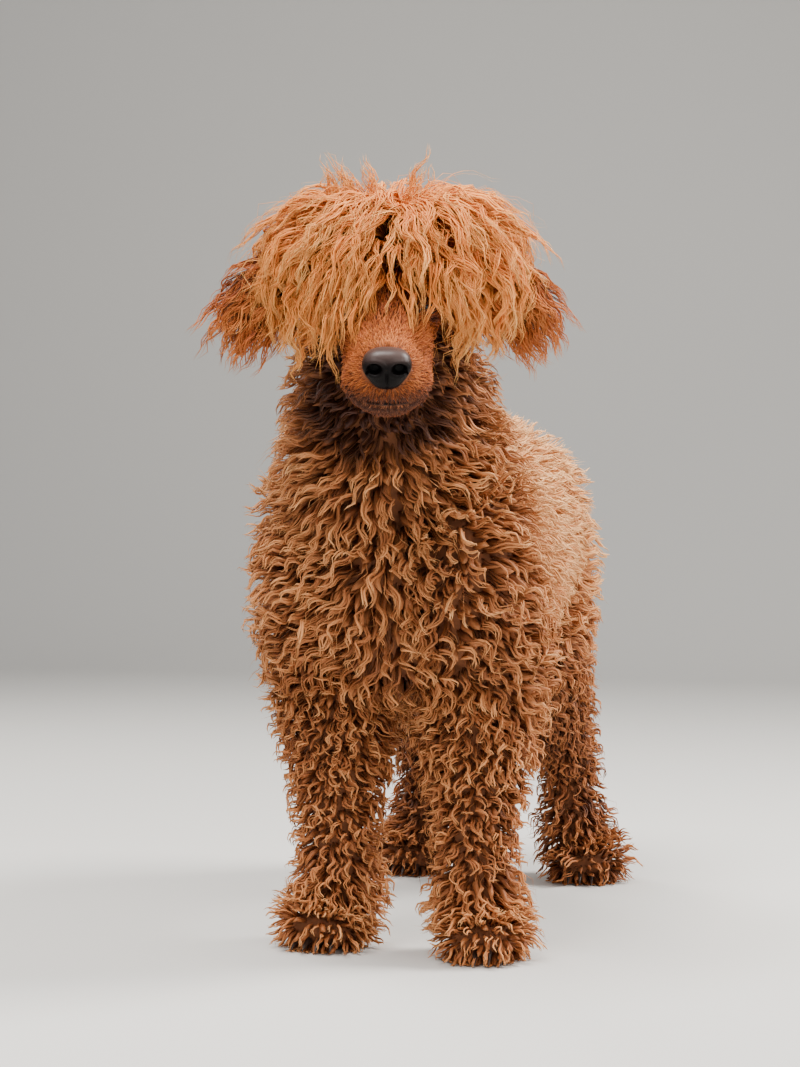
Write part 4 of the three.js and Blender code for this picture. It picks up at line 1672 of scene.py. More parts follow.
@dataclass
class BodyCoat:
    """The coat of the trunk, neck, tail and legs: woolly undercoat, wavy locks and loose fine hairs."""

    scatter: Scatter
    ground: Ground
    lie: Lie = Lie()
    # Painted light and shade of the coat by place, and its rust
    shades: PaintedLightAndRust = PaintedLightAndRust()
    nape: float = 600.0
    nape_share: float = 0.5
    belly: float = 0.6
    ankle: float = 66.0
    split: float = 262.0
    sole: float = 5.0
    tone: Band = (0.5, 0.12)
    warm_spread: float = 0.06
    point: float = 3.2
    seed: int = 100
    seed_step: int = 10

    def build(self, hair: Material, dark: Material) -> None:
        """Grows the layers of the coat region by region and splits them into pieces."""
        under, fuzz = [], []
        for number, (name, (wanted, lay)) in enumerate(self._regions().items()):
            seed = self.seed + self.seed_step * number
            coat = self._layer(name, wanted, lay, seed)
            pieces_of(f"coat_{name}", coat, hair, Slot.COAT, self.point)
            below = LEG_UNDERCOAT if "leg" in name else UNDERCOAT
            under.append(self._layer(name, wanted, below, seed + 3))
            fuzz.append(self._layer(name, wanted, FUZZ, seed + 6))
        # The undercoat's finish is darker than the locks: partly painted shade deep in the coat
        pieces_of("undercoat", Strands.joined(under), dark, Slot.COAT, self.point)
        pieces_of("loose_hairs", Strands.joined(fuzz), hair, Slot.COAT, self.point)

    def _regions(self) -> dict[str, tuple[Array, Lay]]:
        """The regions of the coat.

        Returns:
            For each region's name, the skin's triangles that carry it and how its locks are made.
        """
        names, high = self.scatter.names, self.scatter.middles[:, 2]
        legs = np.char.startswith(names, "fore") | np.char.startswith(names, "hind")
        low, foot = high < self.split, high < self.ankle
        regions = {
            "torso": ((names == "trunk") | (legs & ~low), FLEECE),
            "neck": (names == "neck", FLEECE),
            "tail": (names == "tail", WOOL),
        }
        for side, _ in SIDES:
            for end in ("fore", "hind"):
                own = np.isin(names, [f"{end}leg_{side}", f"{end}paw_{side}"])
                regions[f"{end}leg_{side}"] = (own & low & ~foot, WOOL)
                regions[f"{end}leg_{side}_foot"] = (own & foot, PAW_HAIR)
        return regions

    def _layer(self, name: str, wanted: Array, lay: Lay, seed: int) -> Strands:
        """The strands of one layer of one region.

        Args:
            name: The region.
            wanted: The skin's triangles that carry it.
            lay: How its locks are made.
            seed: The first of its three seeds.

        Returns:
            The strands.
        """
        roots, normals = self.scatter.places(lay.spacing, wanted, seed)
        draw = np.random.default_rng(seed + 1)
        clear = roots[:, 2] > self.sole
        if name == "torso":
            clear &= (normals[:, 2] > -self.belly) | (draw.random(len(roots)) < self.belly)
        if name == "neck":
            clear &= (roots[:, 2] < self.nape) | (draw.random(len(roots)) < self.nape_share)
        roots, normals = roots[clear], normals[clear]
        count = len(roots)
        planting = Planting(
            roots=roots,
            normals=normals,
            flow=self.lie.flow(roots, name),
            depth=self.ground.coat_depth(roots) * self.lie.longer(roots, name),
            curl=self.lie.curl(roots, name),
            # Each lock's own shade plus painted light and shade by place
            tone=draw.normal(*self.tone, count) + self.shades.light(roots, normals),
            warm=np.clip(self.shades.warm(roots) + draw.normal(0, self.warm_spread, count), 0, 1),
        )
        return Locks(self.ground, np.random.default_rng(seed + 2)).grow(planting, lay)


# One form's strip of the bake map: how much of its width is used, and its edge
STRIP = 0.96
STRIP_EDGE = 0.02


def tiled(roots: Array) -> Array:
    """Places on the unwraps of several forms, set side by side on one square."""
    forms, rows = np.unique(roots[:, 2], return_inverse=True)
    return np.column_stack([(roots[:, 0] * STRIP + STRIP_EDGE + rows) / len(forms), roots[:, 1]])


def pieces_of(name: str, strands: Strands, material: Material, slot: Slot, point: float) -> None:
    """Makes pieces of a coat, each with fewer triangles than a piece may have.

    Args:
        name: The name of the piece, numbered where there are several.
        strands: The strands of the coat.
        material: Its finish.
        slot: Its slot in the record; not used.
        point: How suddenly the strands narrow to their tips.
    """
    strands.lines[..., 2] = np.maximum(strands.lines[..., 2], FLOOR_GAP)
    each = 6 * (strands.lines.shape[1] - 2) + 4
    count = math.ceil(len(strands.width) * each / PIECE_LIMIT)
    axis = 2 if "leg" in name else 1
    order = np.argsort(strands.lines[:, 0, axis], kind="stable")
    for number, share in enumerate(np.array_split(order, count)):
        own = strands.chosen(share)
        own.root = tiled(own.root)
        label = name if count == 1 else f"{name}_{number + 1}"
        mesh = own.mesh(label, point)
        mesh.materials.append(material)
        keep(new_object(label, mesh), slot)


@dataclass(frozen=True)
class MopShell:
    """The rounded shape that the long locks of the crown lie in: a dome whose rim hangs down."""

    centre: Place = (5.0, 22.0, 12.0)
    half: float = 131.0
    front: float = 98.0
    back: float = 118.0
    dome: float = 92.0
    square: float = 2.5
    hang: float = 150.0
    closing: float = 0.3

    def points(self, down: Array, azimuth: Array, radius: Array) -> Array:
        """Places in the head's frame.

        Args:
            down: Way down from the top, 1 at the rim of the dome and more below it.
            azimuth: Angle round the upright axis, 0 in front.
            radius: Share of the way out to the shell.

        Returns:
            One point for each entry.
        """
        polar = np.minimum(down, 1) * math.pi / 2
        below = np.maximum(down - 1, 0)
        swell = (np.sin(polar) ** self.square + np.cos(polar) ** self.square) ** (-1 / self.square)
        radius = radius * swell
        level = np.sin(polar) * radius * (1 - self.closing * below)
        deep = np.where(np.cos(azimuth) > 0, self.front, self.back)
        x = self.half * np.sin(azimuth) * level
        y = -deep * np.cos(azimuth) * level
        z = self.dome * np.cos(polar) * radius - self.hang * below
        return np.stack([x, y, z], axis=-1) + np.array(self.centre)

    def normals(self, down: Array, azimuth: Array) -> Array:
        """Directions out of the shell, in the head's frame."""
        polar = np.minimum(down, 1) * math.pi / 2
        x = np.sin(azimuth) * np.sin(polar) / self.half
        y = -np.cos(azimuth) * np.sin(polar) / self.front
        return unit(np.stack([x, y, np.cos(polar) / self.dome], axis=-1))


@dataclass
class HeadHair:
    """What every part of the head's hair is made with."""

    scatter: Scatter
    ground: Ground
    point: float = 1.9
    wave_lengths: Band = (0.75, 1.3)
    waves: Band = (0.5, 1.4)
    waved: Band = (0.1, 0.6)
    flat_wave: float = 0.55
    flat: float = 0.7
    shade: float = 0.08
    widths: Band = (0.5, 1.25)

    def bundle(
        self, lines: Array, normals: Array, style: Style, tone: Array, warm: Array, seed: int
    ) -> Strands:
        """Locks of wavy strands that run along given lines.

        Args:
            lines: The line of each lock in the head's frame: locks, rings, axes.
            normals: Directions out of the head along the lines, in the same shape.
            style: How the locks are made.
            tone: Shade of each lock.
            warm: How rusty each lock is.
            seed: Seed of the draw.

        Returns:
            The strands in the drawing's frame.
        """
        draw, many = np.random.default_rng(seed), style.strands
        count, rings, _ = lines.shape
        lines, normals = from_head(lines), normals @ HEAD_ROTATION.T
        shares = np.linspace(0, 1, rings)
        along = unit(np.gradient(lines, axis=1))
        side = unit(np.cross(along, normals))
        ridge = np.cross(side, along)
        length = np.linalg.norm(np.diff(lines, axis=1), axis=2).sum(axis=1)[:, None]
        turns = length * shares / (style.wave_length * draw.uniform(*self.wave_lengths, (count, 1)))
        bend = draw.uniform(0, TURN, (count, 1)) + TURN * turns
        reach = style.wave * draw.uniform(*self.waves, (count, 1)) * ease(shares, *self.waved)
        lines = lines + side * (reach * np.sin(bend))[..., None]
        lines = lines + ridge * (self.flat_wave * reach * np.cos(bend))[..., None]
        strands = spread_strands(lines, side, self.flat * ridge, style, draw)
        place = self.ground.unwrap(strands[:, 0])
        tone = np.repeat(tone, many) + draw.normal(0, self.shade, count * many)
        width = style.width * draw.uniform(*self.widths, count * many)
        facing = np.repeat(normals[:, 0], many, axis=0)
        return Strands(strands, width, facing, tone, np.repeat(warm, many), place)


@dataclass
class Mop(HeadHair):
    """The long hair of the crown: locks that part in the middle, fine hairs, tufts and the fringe."""

    locks: int = 620
    rings: int = 9
    seed: int = 7
    shell: MopShell = MopShell()
    scalp: float = 0.3
    parting: float = 0.12
    crown: float = 0.12
    lengths: Band = (0.36, 0.76)
    least: float = 0.22
    sway: float = 0.21
    layers: Band = (0.72, 1.05)
    longest: tuple = ((0, 8, 14, 25, 34, 46, 90, 180), (0.84, 0.96, 1.14, 1.44, 1.62, 1.52, 1.42, 1.4))
    peep: Band = (43.0, 7.0)
    bare: Band = (17.0, 27.0)
    long: Style = Style(9, 2.3, 7.4, 0.86, 2.0, 5.6, 48.0)
    short: Style = Style(6, 1.8, 4.6, 0.84, 1.6, 4.2, 42.0)
    tuft: Style = Style(6, 1.5, 4.0, 0.5, 3.4, 3.0, 40.0)
    flyaway: Style = Style(2, 0.8, 6.0, 0.0, 8.0, 6.0, 60.0)
    flyaway_out: float = 0.08
    little_rust: float = 0.1
    tuft_tone: float = 0.62
    tuft_locks: int = 9
    tufts: tuple = (
        ((-34.0, 6.0, 66.0), (-59.0, 4.0, 134.0)),
        ((-26.0, 10.0, 70.0), (-44.0, 8.0, 126.0)),
        ((-8.0, 14.0, 64.0), (-19.0, 12.0, 127.0)),
        ((14.0, 4.0, 62.0), (38.0, 2.0, 137.0)),
    )
    fringe_spacing: float = 6.2
    fringe_half: float = 44.0
    hang: tuple = ((0, 20, 32, 60), (-4, -12, -28, -38))
    arched: Band = (-34.0, -6.0)

    def build(self, material: Material) -> None:
        """Grows the layers of the mop and splits them into pieces."""
        draw = np.random.default_rng(self.seed)
        lines, facing, azimuth = self._fall(draw, self.locks, 0.0)
        tone, front = draw.normal(0.64, 0.2, len(lines)), np.maximum(0, np.cos(azimuth)) ** 8
        warm = np.clip(0.14 + 0.3 * front + draw.normal(0, 0.07, len(tone)), 0, 1)
        layers = [self.bundle(lines, facing, self.long, tone, warm, self.seed + 1)]
        lines, facing, _ = self._fall(draw, self.locks // 2, self.flyaway_out)
        tone, warm = draw.normal(0.75, 0.1, len(lines)), np.full(len(lines), self.little_rust)
        layers.append(self.bundle(lines, facing, self.flyaway, tone, warm, self.seed + 2))
        lines, facing = self._tufts(draw)
        tone, warm = (np.full(len(lines), value) for value in (self.tuft_tone, self.little_rust))
        layers.append(self.bundle(lines, facing, self.tuft, tone, warm, self.seed + 3))
        lines, facing = self._fringe(draw)
        warm = np.clip(0.22 + 0.4 * bell(lines[:, -1, 0], 18), 0, 1)
        tone = draw.normal(0.58, 0.15, len(lines))
        layers.append(self.bundle(lines, facing, self.short, tone, warm, self.seed + 4))
        pieces_of("mop", Strands.joined(layers), material, Slot.FACE, self.point)

    def _fall(self, draw: Draw, count: int, out: float) -> tuple[Array, Array, Array]:
        """Lines of locks from the scalp out to the shell and down along it.

        Args:
            draw: The random draw.
            count: How many are tried; those with no room in front are left out.
            out: How much further out than the shell they reach.

        Returns:
            Lines and outward directions in the head's frame, and the angle of each lock round the head.
        """
        azimuth = draw.uniform(-math.pi, math.pi, count)
        start = np.arccos(1 - draw.uniform(0, 1, count)) * 2 / math.pi
        crown = draw.random(count) < self.crown
        azimuth = np.where(crown, draw.normal(0, 0.7, count), azimuth)
        start = np.where(crown, draw.uniform(0.02, 0.22, count), start)
        longest = np.interp(np.degrees(np.abs(azimuth)), *self.longest)
        wished = start + draw.uniform(*self.lengths, count)
        end = np.minimum(wished, longest * draw.uniform(0.88, 1.04, count))
        roomy = end - start > self.least
        azimuth, start, end = azimuth[roomy], start[roomy], end[roomy]
        count, shares = len(end), np.linspace(0, 1, self.rings)
        apart = self.parting * np.sign(azimuth) * np.maximum(0, np.cos(azimuth)) ** 2
        apart = apart + draw.normal(0, self.sway, count)
        angle = azimuth[:, None] + apart[:, None] * shares
        down = start[:, None] + (end - start)[:, None] * shares
        layer = 1.0 + out - 0.13 * start + draw.normal(0, 0.045, count)
        layer = np.clip(layer, self.layers[0], self.layers[1] + out)
        flick = draw.normal(0, 0.08, count)[:, None] * ease(shares, 0.5, 1)
        radius = self.scalp + (layer - self.scalp)[:, None] * ease(shares, -0.2, 0.45) + flick
        lines = self.shell.points(down, angle, radius)
        x, y, z = lines[:, -1].T
        clear = (np.abs(x - self.peep[0]) > self.peep[1]) | (y > -30) | (z > 30)
        return lines[clear], self.shell.normals(down, angle)[clear], azimuth[clear]

    def _tufts(self, draw: Draw) -> tuple[Array, Array]:
        """Lines of the tufts on top and their outward directions, in the head's frame."""
        ends = np.repeat(np.array(self.tufts), self.tuft_locks, axis=0)
        whole = draw.uniform(0.6, 1.02, (len(ends), 1))
        root = ends[:, 0] + draw.normal(0, 8, (len(ends), 3)) * [1, 1, 0.2]
        tip = root + (ends[:, 1] - root) * whole + draw.normal(0, 5, (len(ends), 3)) * (1.6 - whole)
        lines = arcs(root, (root + tip) / 2 + (tip - root) * [-0.3, 0, 0.1], tip, self.rings)
        return lines, np.broadcast_to(np.array([0.0, -1.0, 0.3]), lines.shape)

    def _fringe(self, draw: Draw) -> tuple[Array, Array]:
        """Thin locks that fall over the eyes, with a gap before the left eye: lines and directions."""
        x, y, z = to_head(self.scatter.middles).T
        wanted = (y < 14) & (y > -52) & (np.abs(x) < self.fringe_half) & (z > 12)
        roots = to_head(self.scatter.places(self.fringe_spacing, wanted, 420)[0])
        x, y, z = roots.T
        count = len(roots)
        arch = ease(y + draw.normal(0, 10, count), *self.arched)
        level = (1.4 + 0.5 * arch) * x + draw.normal(0, 8, count)
        low = np.interp(np.abs(level), *self.hang) + draw.normal(0, 9, count) + 34 * arch
        low -= 16 * (draw.random(count) < 0.14)
        ahead = -93 + 0.12 * np.abs(level) + draw.normal(0, 3, count) + 6 * arch
        tip = np.stack([level, ahead, low], axis=1)
        high = 32 + 0.5 * (z - 20) + 50 * arch + draw.normal(0, 5, count)
        knee = np.stack([1.2 * x, -80 + 14 * arch + draw.normal(0, 5, count), high], axis=1)
        clear = np.abs(level - self.peep[0]) > self.peep[1]
        clear &= (np.abs(level - self.bare[0]) > self.bare[1]) | (arch > 0.5) | (draw.random(count) < 0.35)
        lines = arcs(roots[clear], knee[clear], tip[clear], self.rings)
        return lines, np.broadcast_to(np.array([0.0, -1.0, 0.25]), lines.shape)


@dataclass
class EarHair(HeadHair):
    """Long hair that streams out and down from both ears."""

    style: Style = Style(9, 1.8, 6.4, 0.5, 2.4, 3.2, 30.0)
    spacing: float = 6.6
    rings: int = 7
    length: float = 36.0
    lengths: Band = (0.7, 1.2)
    tip_shorter: float = 0.22
    tip: Band = (90.0, 140.0)
    droop: Band = (0.42, 0.7)
    drooping: Band = (60.0, 140.0)
    ruffle: float = 0.16
    rise: Band = (0.35, 0.5)
    fall: Band = (0.7, -0.25)
    tone: Band = (0.45, 0.16)
    rust: Band = (0.4, 0.12)
    seeds: Place = (300, 310, 320)

    def build(self, material: Material) -> None:
        """Grows the hair of both ears."""
        for side, sign in SIDES:
            strands = self._hair(self.scatter.names == f"ear_{side}", sign)
            pieces_of(f"ear_{side}_hair", strands, material, Slot.EARS, self.point)

    def _hair(self, wanted: Array, sign: int) -> Strands:
        """The strands of one ear, which grows from the given triangles of the skin."""
        place_seed, draw_seed, bundle_seed = (seed + sign for seed in self.seeds)
        roots, normals = self.scatter.places(self.spacing, wanted, place_seed)
        local, draw = to_head(roots), np.random.default_rng(draw_seed)
        out, count, far = normals @ HEAD_ROTATION, len(local), np.abs(local[:, 0])
        away = unit(local - np.array(EAR[0][:3]) * [sign, 1, 1])
        down = ease(far, *self.drooping) * self.droop[1] + self.droop[0]
        flow = unit(away + np.outer(down, -UP) + draw.normal(0, self.ruffle, local.shape))
        length = self.length * draw.uniform(*self.lengths, count)
        length = (length * (1 - self.tip_shorter * ease(far, *self.tip)))[:, None]
        knee = local + (out * self.rise[0] + flow * self.rise[1]) * length
        tip = knee + (flow * self.fall[0] + UP * self.fall[1]) * length
        lines = arcs(local, knee, tip, self.rings)
        tone = draw.normal(*self.tone, count)
        warm = np.clip(draw.normal(*self.rust, count), 0, 1)
        facing = np.broadcast_to(out[:, None], lines.shape)
        return self.bundle(lines, facing, self.style, tone, warm, bundle_seed)


@dataclass
class FaceFur(HeadHair):
    """Short fur that lies back from the nose, longer on the cheeks and forehead."""

    eyes: Eyes = field(default_factory=Eyes)
    mouth: Mouth = field(default_factory=Mouth)
    back: float = -22.0
    forehead: float = 8.0
    front: float = -152.0
    half: float = 60.0
    low: float = -94.0
    muzzle: float = -72.0
    spacing: Band = (1.15, 2.15)
    seeds: Band = (401, 403)
    nose_half: Place = (20.6, 15.0, 16.6)
    lid_bare: float = -1.2
    eye_bare: float = 16.0
    mouth_bare: float = 2.3
    nose_back: Place = (0.0, 8.0, 0.0)
    chin: Band = (56.0, 66.0)
    chin_flow: Place = (0.0, 0.2, -0.6)
    ruffle: float = 0.28
    distant: Band = (-128.0, -40.0)
    cheek_out: Band = (22.0, 36.0)
    cheek_down: Band = (20.0, 50.0)
    lengths: Place = (7.5, 11.0, 3.0)
    uneven: Band = (0.6, 1.2)
    lifts: tuple[float, ...] = (0.12, 0.16, 0.2, 0.16)
    knee: float = 0.5
    tip: Band = (0.62, 0.5)
    rings: int = 4
    above: Place = (0.0, 10.0, 28.0)
    above_half: Place = (26.0, 22.0, 14.0)
    # Painted shade under the jaw and beside it
    under: Band = (44.0, 60.0)
    beside: Band = (24.0, 44.0)
    # Painted shade on the brow
    brow: Band = (-14.0, 6.0)
    lip_half: float = 5.0
    lip_out: Band = (16.0, 30.0)
    lip_back: float = -90.0
    tone: Band = (0.5, 0.14)
    # Weights: paler over the nose, painted shade under the jaw, painted shade on the brow, darker lips
    shades: tuple[float, ...] = (0.34, 1.0, 0.5, 0.8)
    # Share of the painted shade beside the jaw
    beside_shade: float = 0.5
    rust: Band = (0.6, 0.1)
    brow_rust: float = 0.25
    rusty: Band = (0.0, 24.0)
    width: Band = (0.8, 0.75)

    def build(self, material: Material) -> None:
        """Grows the fur."""
        roots, normals = self._roots()
        local, out = to_head(roots), normals @ HEAD_ROTATION
        draw, count = np.random.default_rng(402), len(local)
        x, y, z = np.abs(local[:, 0]), local[:, 1], local[:, 2]
        flow = unit(local - np.array(NOSE_PLACE) + np.array(self.nose_back))
        flow = across_plane(flow + np.outer(ease(-z, *self.chin), self.chin_flow), out)
        flow = across_plane(flow + draw.normal(0, self.ruffle, flow.shape), out)
        far = ease(y, *self.distant)
        cheek = ease(x, *self.cheek_out) * ease(-z, *self.cheek_down)
        least, by_far, by_cheek = self.lengths
        length = ((least + by_far * far + by_cheek * cheek) * draw.uniform(*self.uneven, count))[:, None]
        least, loose, by_far, by_cheek = self.lifts
        lift = (least + loose * draw.random(count) + by_far * far + by_cheek * cheek)[:, None]
        knee = local + (out * lift + flow * self.knee) * length
        tip = knee + (flow * self.tip[0] - out * (self.tip[1] * lift)) * length
        lines = from_head(arcs(local, knee, tip, self.rings))
        # Each strand's own shade plus painted shade by place
        tone = draw.normal(*self.tone, count) + self._light(local)
        warm = draw.normal(*self.rust, count) + self.brow_rust * ease(z, *self.rusty)
        width = (self.width[0] + self.width[1] * far) * draw.uniform(*self.uneven, count)
        place = self.ground.unwrap(roots)
        strands = Strands(lines, width, normals, tone, np.clip(warm, 0, 1), place)
        pieces_of("face_fur", strands, material, Slot.FACE, self.point)

    def _roots(self) -> tuple[Array, Array]:
        """Places on the face and their normals, clear of the nose, the eyes and the line of the mouth."""
        x, y, z = to_head(self.scatter.middles).T
        ahead = (y < self.back) | ((y < self.forehead) & (z > 0))
        wanted = ahead & (y > self.front) & (np.abs(x) < self.half) & (z > self.low)
        halves = zip(self.spacing, (y < self.muzzle, y >= self.muzzle), self.seeds)
        found = [self.scatter.places(spacing, wanted & own, seed) for spacing, own, seed in halves]
        roots, normals = (np.concatenate(pair) for pair in zip(*found))
        local = to_head(roots)
        clear = np.linalg.norm((local - np.array(NOSE_PLACE)) / self.nose_half, axis=1) > 1.0
        for _, sign in SIDES:
            inside, _ = self.eyes.open_share(local, sign)
            distance = np.linalg.norm(local - self.eyes.at(sign), axis=1)
            clear &= ~((inside > self.lid_bare) & (distance < self.eye_bare))
        over, effect = self.mouth.height(local)
        middle = np.abs(local[:, 0]) < self.mouth.seen
        clear &= ~((np.abs(over) < self.mouth_bare) & (effect > 0.5) & middle)
        return roots[clear], normals[clear]

    def _light(self, local: Array) -> Array:
        """Paler over the nose and darker on the lips; darker under the jaw, beside it and on the brow, which
        is painted shade.
        """
        x, y, z = np.abs(local[:, 0]), local[:, 1], local[:, 2]
        way = (local - np.array(NOSE_PLACE) - self.above) / self.above_half
        above = np.exp(-(way**2).sum(axis=1))
        under = ease(-z, *self.under) + self.beside_shade * ease(x, *self.beside)
        brow = ease(z, *self.brow)
        over, _ = self.mouth.height(local)
        lips = bell(over, self.lip_half) * (1 - ease(x, *self.lip_out)) * (y < self.lip_back)
        by_above, by_under, by_brow, by_lips = self.shades
        return by_above * above - by_under * under - by_brow * brow - by_lips * lips


@dataclass
class Nose:
    """The leather of the nose, broad above and narrow below, with its nostrils and wings."""

    centre: Place = NOSE_PLACE
    half: Place = (21.5, 15.0, 18.0)
    square: float = 2.7
    narrow: float = 0.32
    narrowed: Band = (-3.0, 17.0)
    face: Band = (1.0, 8.0)
    nostril: Band = (10.7, 1.6)
    hole: Band = (6.4, 4.8)
    hole_edge: Band = (0.55, 1.15)
    deep: float = 8.0
    slit_way: Band = (0.85, 0.5)
    slit_length: float = 9.0
    slit_end: Band = (8.8, 6.0)
    slit_wide: Band = (2.1, 0.9)
    slit_edge: Band = (0.4, 1.3)
    slit_deep: float = 0.6
    rim: Band = (1.45, 0.4)
    rim_high: float = 0.8
    # Depths in the nostril that the painted shade covers
    dark: Band = (0.3, 0.85)
    cleft_wide: float = 1.1
    cleft_top: Band = (-4.0, 4.0)
    cleft_deep: float = 1.8
    # Heights over the nose's middle where its painted highlight comes in
    upper: Band = (3.0, 15.0)

    def build(self, material: Material) -> None:
        """Makes the nose from a fine ball pushed into shape."""
        mesh = ball("nose_leather", 6)
        way = unit(points_of(mesh))
        square = (np.abs(way) ** self.square).sum(axis=1) ** (-1 / self.square)
        local = way * square[:, None] * self.half
        local[:, 0] *= 1 - self.narrow * ease(-local[:, 2], *self.narrowed)
        ahead = ease(-local[:, 1], *self.face)
        hollow = np.zeros(len(local))
        for _, sign in SIDES:
            depth, rim = self._nostril(sign * local[:, 0] - self.nostril[0], local[:, 2] - self.nostril[1])
            local[:, 1] += ahead * (self.deep * depth - self.rim_high * rim)
            # Painted shade deep in each nostril
            hollow = np.maximum(hollow, ahead * ease(depth, *self.dark))
        cleft = ahead * bell(local[:, 0], self.cleft_wide) * (1 - ease(local[:, 2], *self.cleft_top))
        local[:, 1] += self.cleft_deep * cleft
        local += np.array(self.centre)
        move_points(mesh, from_head(local))
        number_on(mesh, "hollow", hollow)
        # Where the painted highlight lies on the top
        number_on(mesh, "upper", ease(local[:, 2] - self.centre[2], *self.upper))
        keep_ball(mesh, material, Slot.NOSE, "nose")

    def _nostril(self, x: Array, z: Array) -> tuple[Array, Array]:
        """A round nostril with a slit that curls away from it under the wing.

        Args:
            x: Way out from the nostril's middle.
            z: Way up from it.

        Returns:
            How deep each point lies in the nostril, and how much it belongs to the raised rim, from 0 to 1.
        """
        off = np.hypot(x / self.hole[0], z / self.hole[1])
        slit = np.clip((x * self.slit_way[0] - z * self.slit_way[1]) / self.slit_length, 0, 1)
        trail = np.hypot(x - slit * self.slit_end[0], z + slit * slit * self.slit_end[1])
        trail = trail / (self.slit_wide[0] - self.slit_wide[1] * slit)
        slit_depth = self.slit_deep * (1 - ease(trail, *self.slit_edge)) * (x > 0)
        return np.maximum(1 - ease(off, *self.hole_edge), slit_depth), bell(off - self.rim[0], self.rim[1])


@dataclass
class Claws:
    """Four claws on each foot, made by Geometry Nodes from one bent horn."""

    count: int = 4
    radius: float = 3.0
    tip: float = 0.2
    length: float = 18.0
    apart: float = 13.0
    ahead: float = -46.0
    curve: float = 2.0
    high: float = 9.2
    splay: float = 0.06
    droop: float = 0.42

    def build(self, material: Material) -> None:
        """Sets the horn at each toe."""
        points, turns = [], []
        for _, sign in SIDES:
            for x, y in feet(sign):
                for i in range(self.count):
                    share = i - (self.count - 1) / 2
                    toe = np.array([share * self.apart, self.ahead + self.curve * share * share, self.high])
                    toe = turned(TOE_OUT, "Z") @ toe
                    points.append([sign * (toe[0] + x), toe[1] + y, toe[2]])
                    turns.append((0.0, 0.0, sign * (TOE_OUT + self.splay * share)))
        mesh = bpy.data.meshes.new("toes")
        mesh.from_pydata(DESIGN.place(np.array(points)).tolist(), [], [])
        mesh.attributes.new("turn", "FLOAT_VECTOR", "POINT").data.foreach_set("vector", np.ravel(turns))
        claws = new_object("claws", mesh)
        modifier = claws.modifiers.new("horn", "NODES")
        tree, inputs = self._tree()
        modifier.node_group = tree
        modifier[inputs["Radius"]] = self.radius * MM
        modifier[inputs["Tip"]] = self.tip * MM
        modifier[inputs["Length"]] = self.length * MM
        modifier[inputs["Droop"]] = self.droop
        modifier[inputs["Horn"]] = material
        applied(claws, material)
        keep(claws, Slot.NOSE)

    @staticmethod
    def _tree() -> tuple[bpy.types.NodeTree, dict[str, str]]:
        """The node tree of the claws.

        Returns:
            The tree, and the identifier of each named input.
        """
        group = bpy.data.node_groups.new("claws", "GeometryNodeTree")
        face = group.interface
        face.new_socket("Geometry", in_out="INPUT", socket_type="NodeSocketGeometry")
        named = {}
        kinds = {"Radius": "Float", "Tip": "Float", "Length": "Float", "Droop": "Float", "Horn": "Material"}
        for name, kind in kinds.items():
            named[name] = face.new_socket(name, in_out="INPUT", socket_type=f"NodeSocket{kind}").identifier
        face.new_socket("Geometry", in_out="OUTPUT", socket_type="NodeSocketGeometry")
        tree = Nodes(group)
        start = tree.node("NodeGroupInput").socket.node
        given = {socket.name: Value(tree, socket) for socket in start.outputs if socket.name}
        length, droop = given["Length"], given["Droop"]
        middle = tree.node("ShaderNodeCombineXYZ", sockets={1: length * -0.2, 2: length * droop * 0.1})
        end = tree.node("ShaderNodeCombineXYZ", sockets={1: length * -0.5, 2: length * droop * -1})
        back = tree.node("ShaderNodeCombineXYZ", sockets={1: length * 0.5, 2: length * droop * 0.35})
        sockets = {"Resolution": 10, "Start": back, "Middle": middle, "End": end}
        bent = tree.node("GeometryNodeCurveQuadraticBezier", sockets=sockets)
        share = tree.node("GeometryNodeSplineParameter", out="Factor")
        taper = given["Radius"] * (1 - share**2.0) + given["Tip"]
        sockets = {"Resolution": 12, "Radius": 1.0}
        ring = tree.node("GeometryNodeCurvePrimitiveCircle", {"mode": "RADIUS"}, sockets)
        sockets = {"Curve": bent, "Profile Curve": ring, "Scale": taper, "Fill Caps": True}
        horn = tree.node("GeometryNodeCurveToMesh", sockets=sockets)
        turn = tree.node("GeometryNodeInputNamedAttribute", {"data_type": "FLOAT_VECTOR"}, {"Name": "turn"})
        sockets = {"Points": given["Geometry"], "Instance": horn, "Rotation": turn}
        placed = tree.node("GeometryNodeInstanceOnPoints", sockets=sockets)
        real = tree.node("GeometryNodeRealizeInstances", sockets={0: placed})
        smooth = tree.node("GeometryNodeSetShadeSmooth", sockets={0: real})
        sockets = {"Geometry": smooth, "Material": given["Horn"]}
        dressed = tree.node("GeometryNodeSetMaterial", sockets=sockets)
        tree.node("NodeGroupOutput", sockets={0: dressed})
        return group, named


@dataclass(frozen=True)
class Lamp:
    """One soft square light: its place and size in metres, its power in watts and its colour."""

    name: str
    place: Place
    size: float
    power: float
    colour: Colour

    def hang(self, aim: Place) -> None:
        """Hangs the light so that it faces the aim."""
        data = bpy.data.lights.new(self.name, "AREA")
        data.size, data.energy, data.color = self.size, self.power, self.colour
        light = bpy.data.objects.new(self.name, data)
        light.location = self.place
        light.rotation_euler = (Vector(aim) - Vector(self.place)).to_track_quat("-Z", "Y").to_euler()
        bpy.context.scene.collection.objects.link(light)


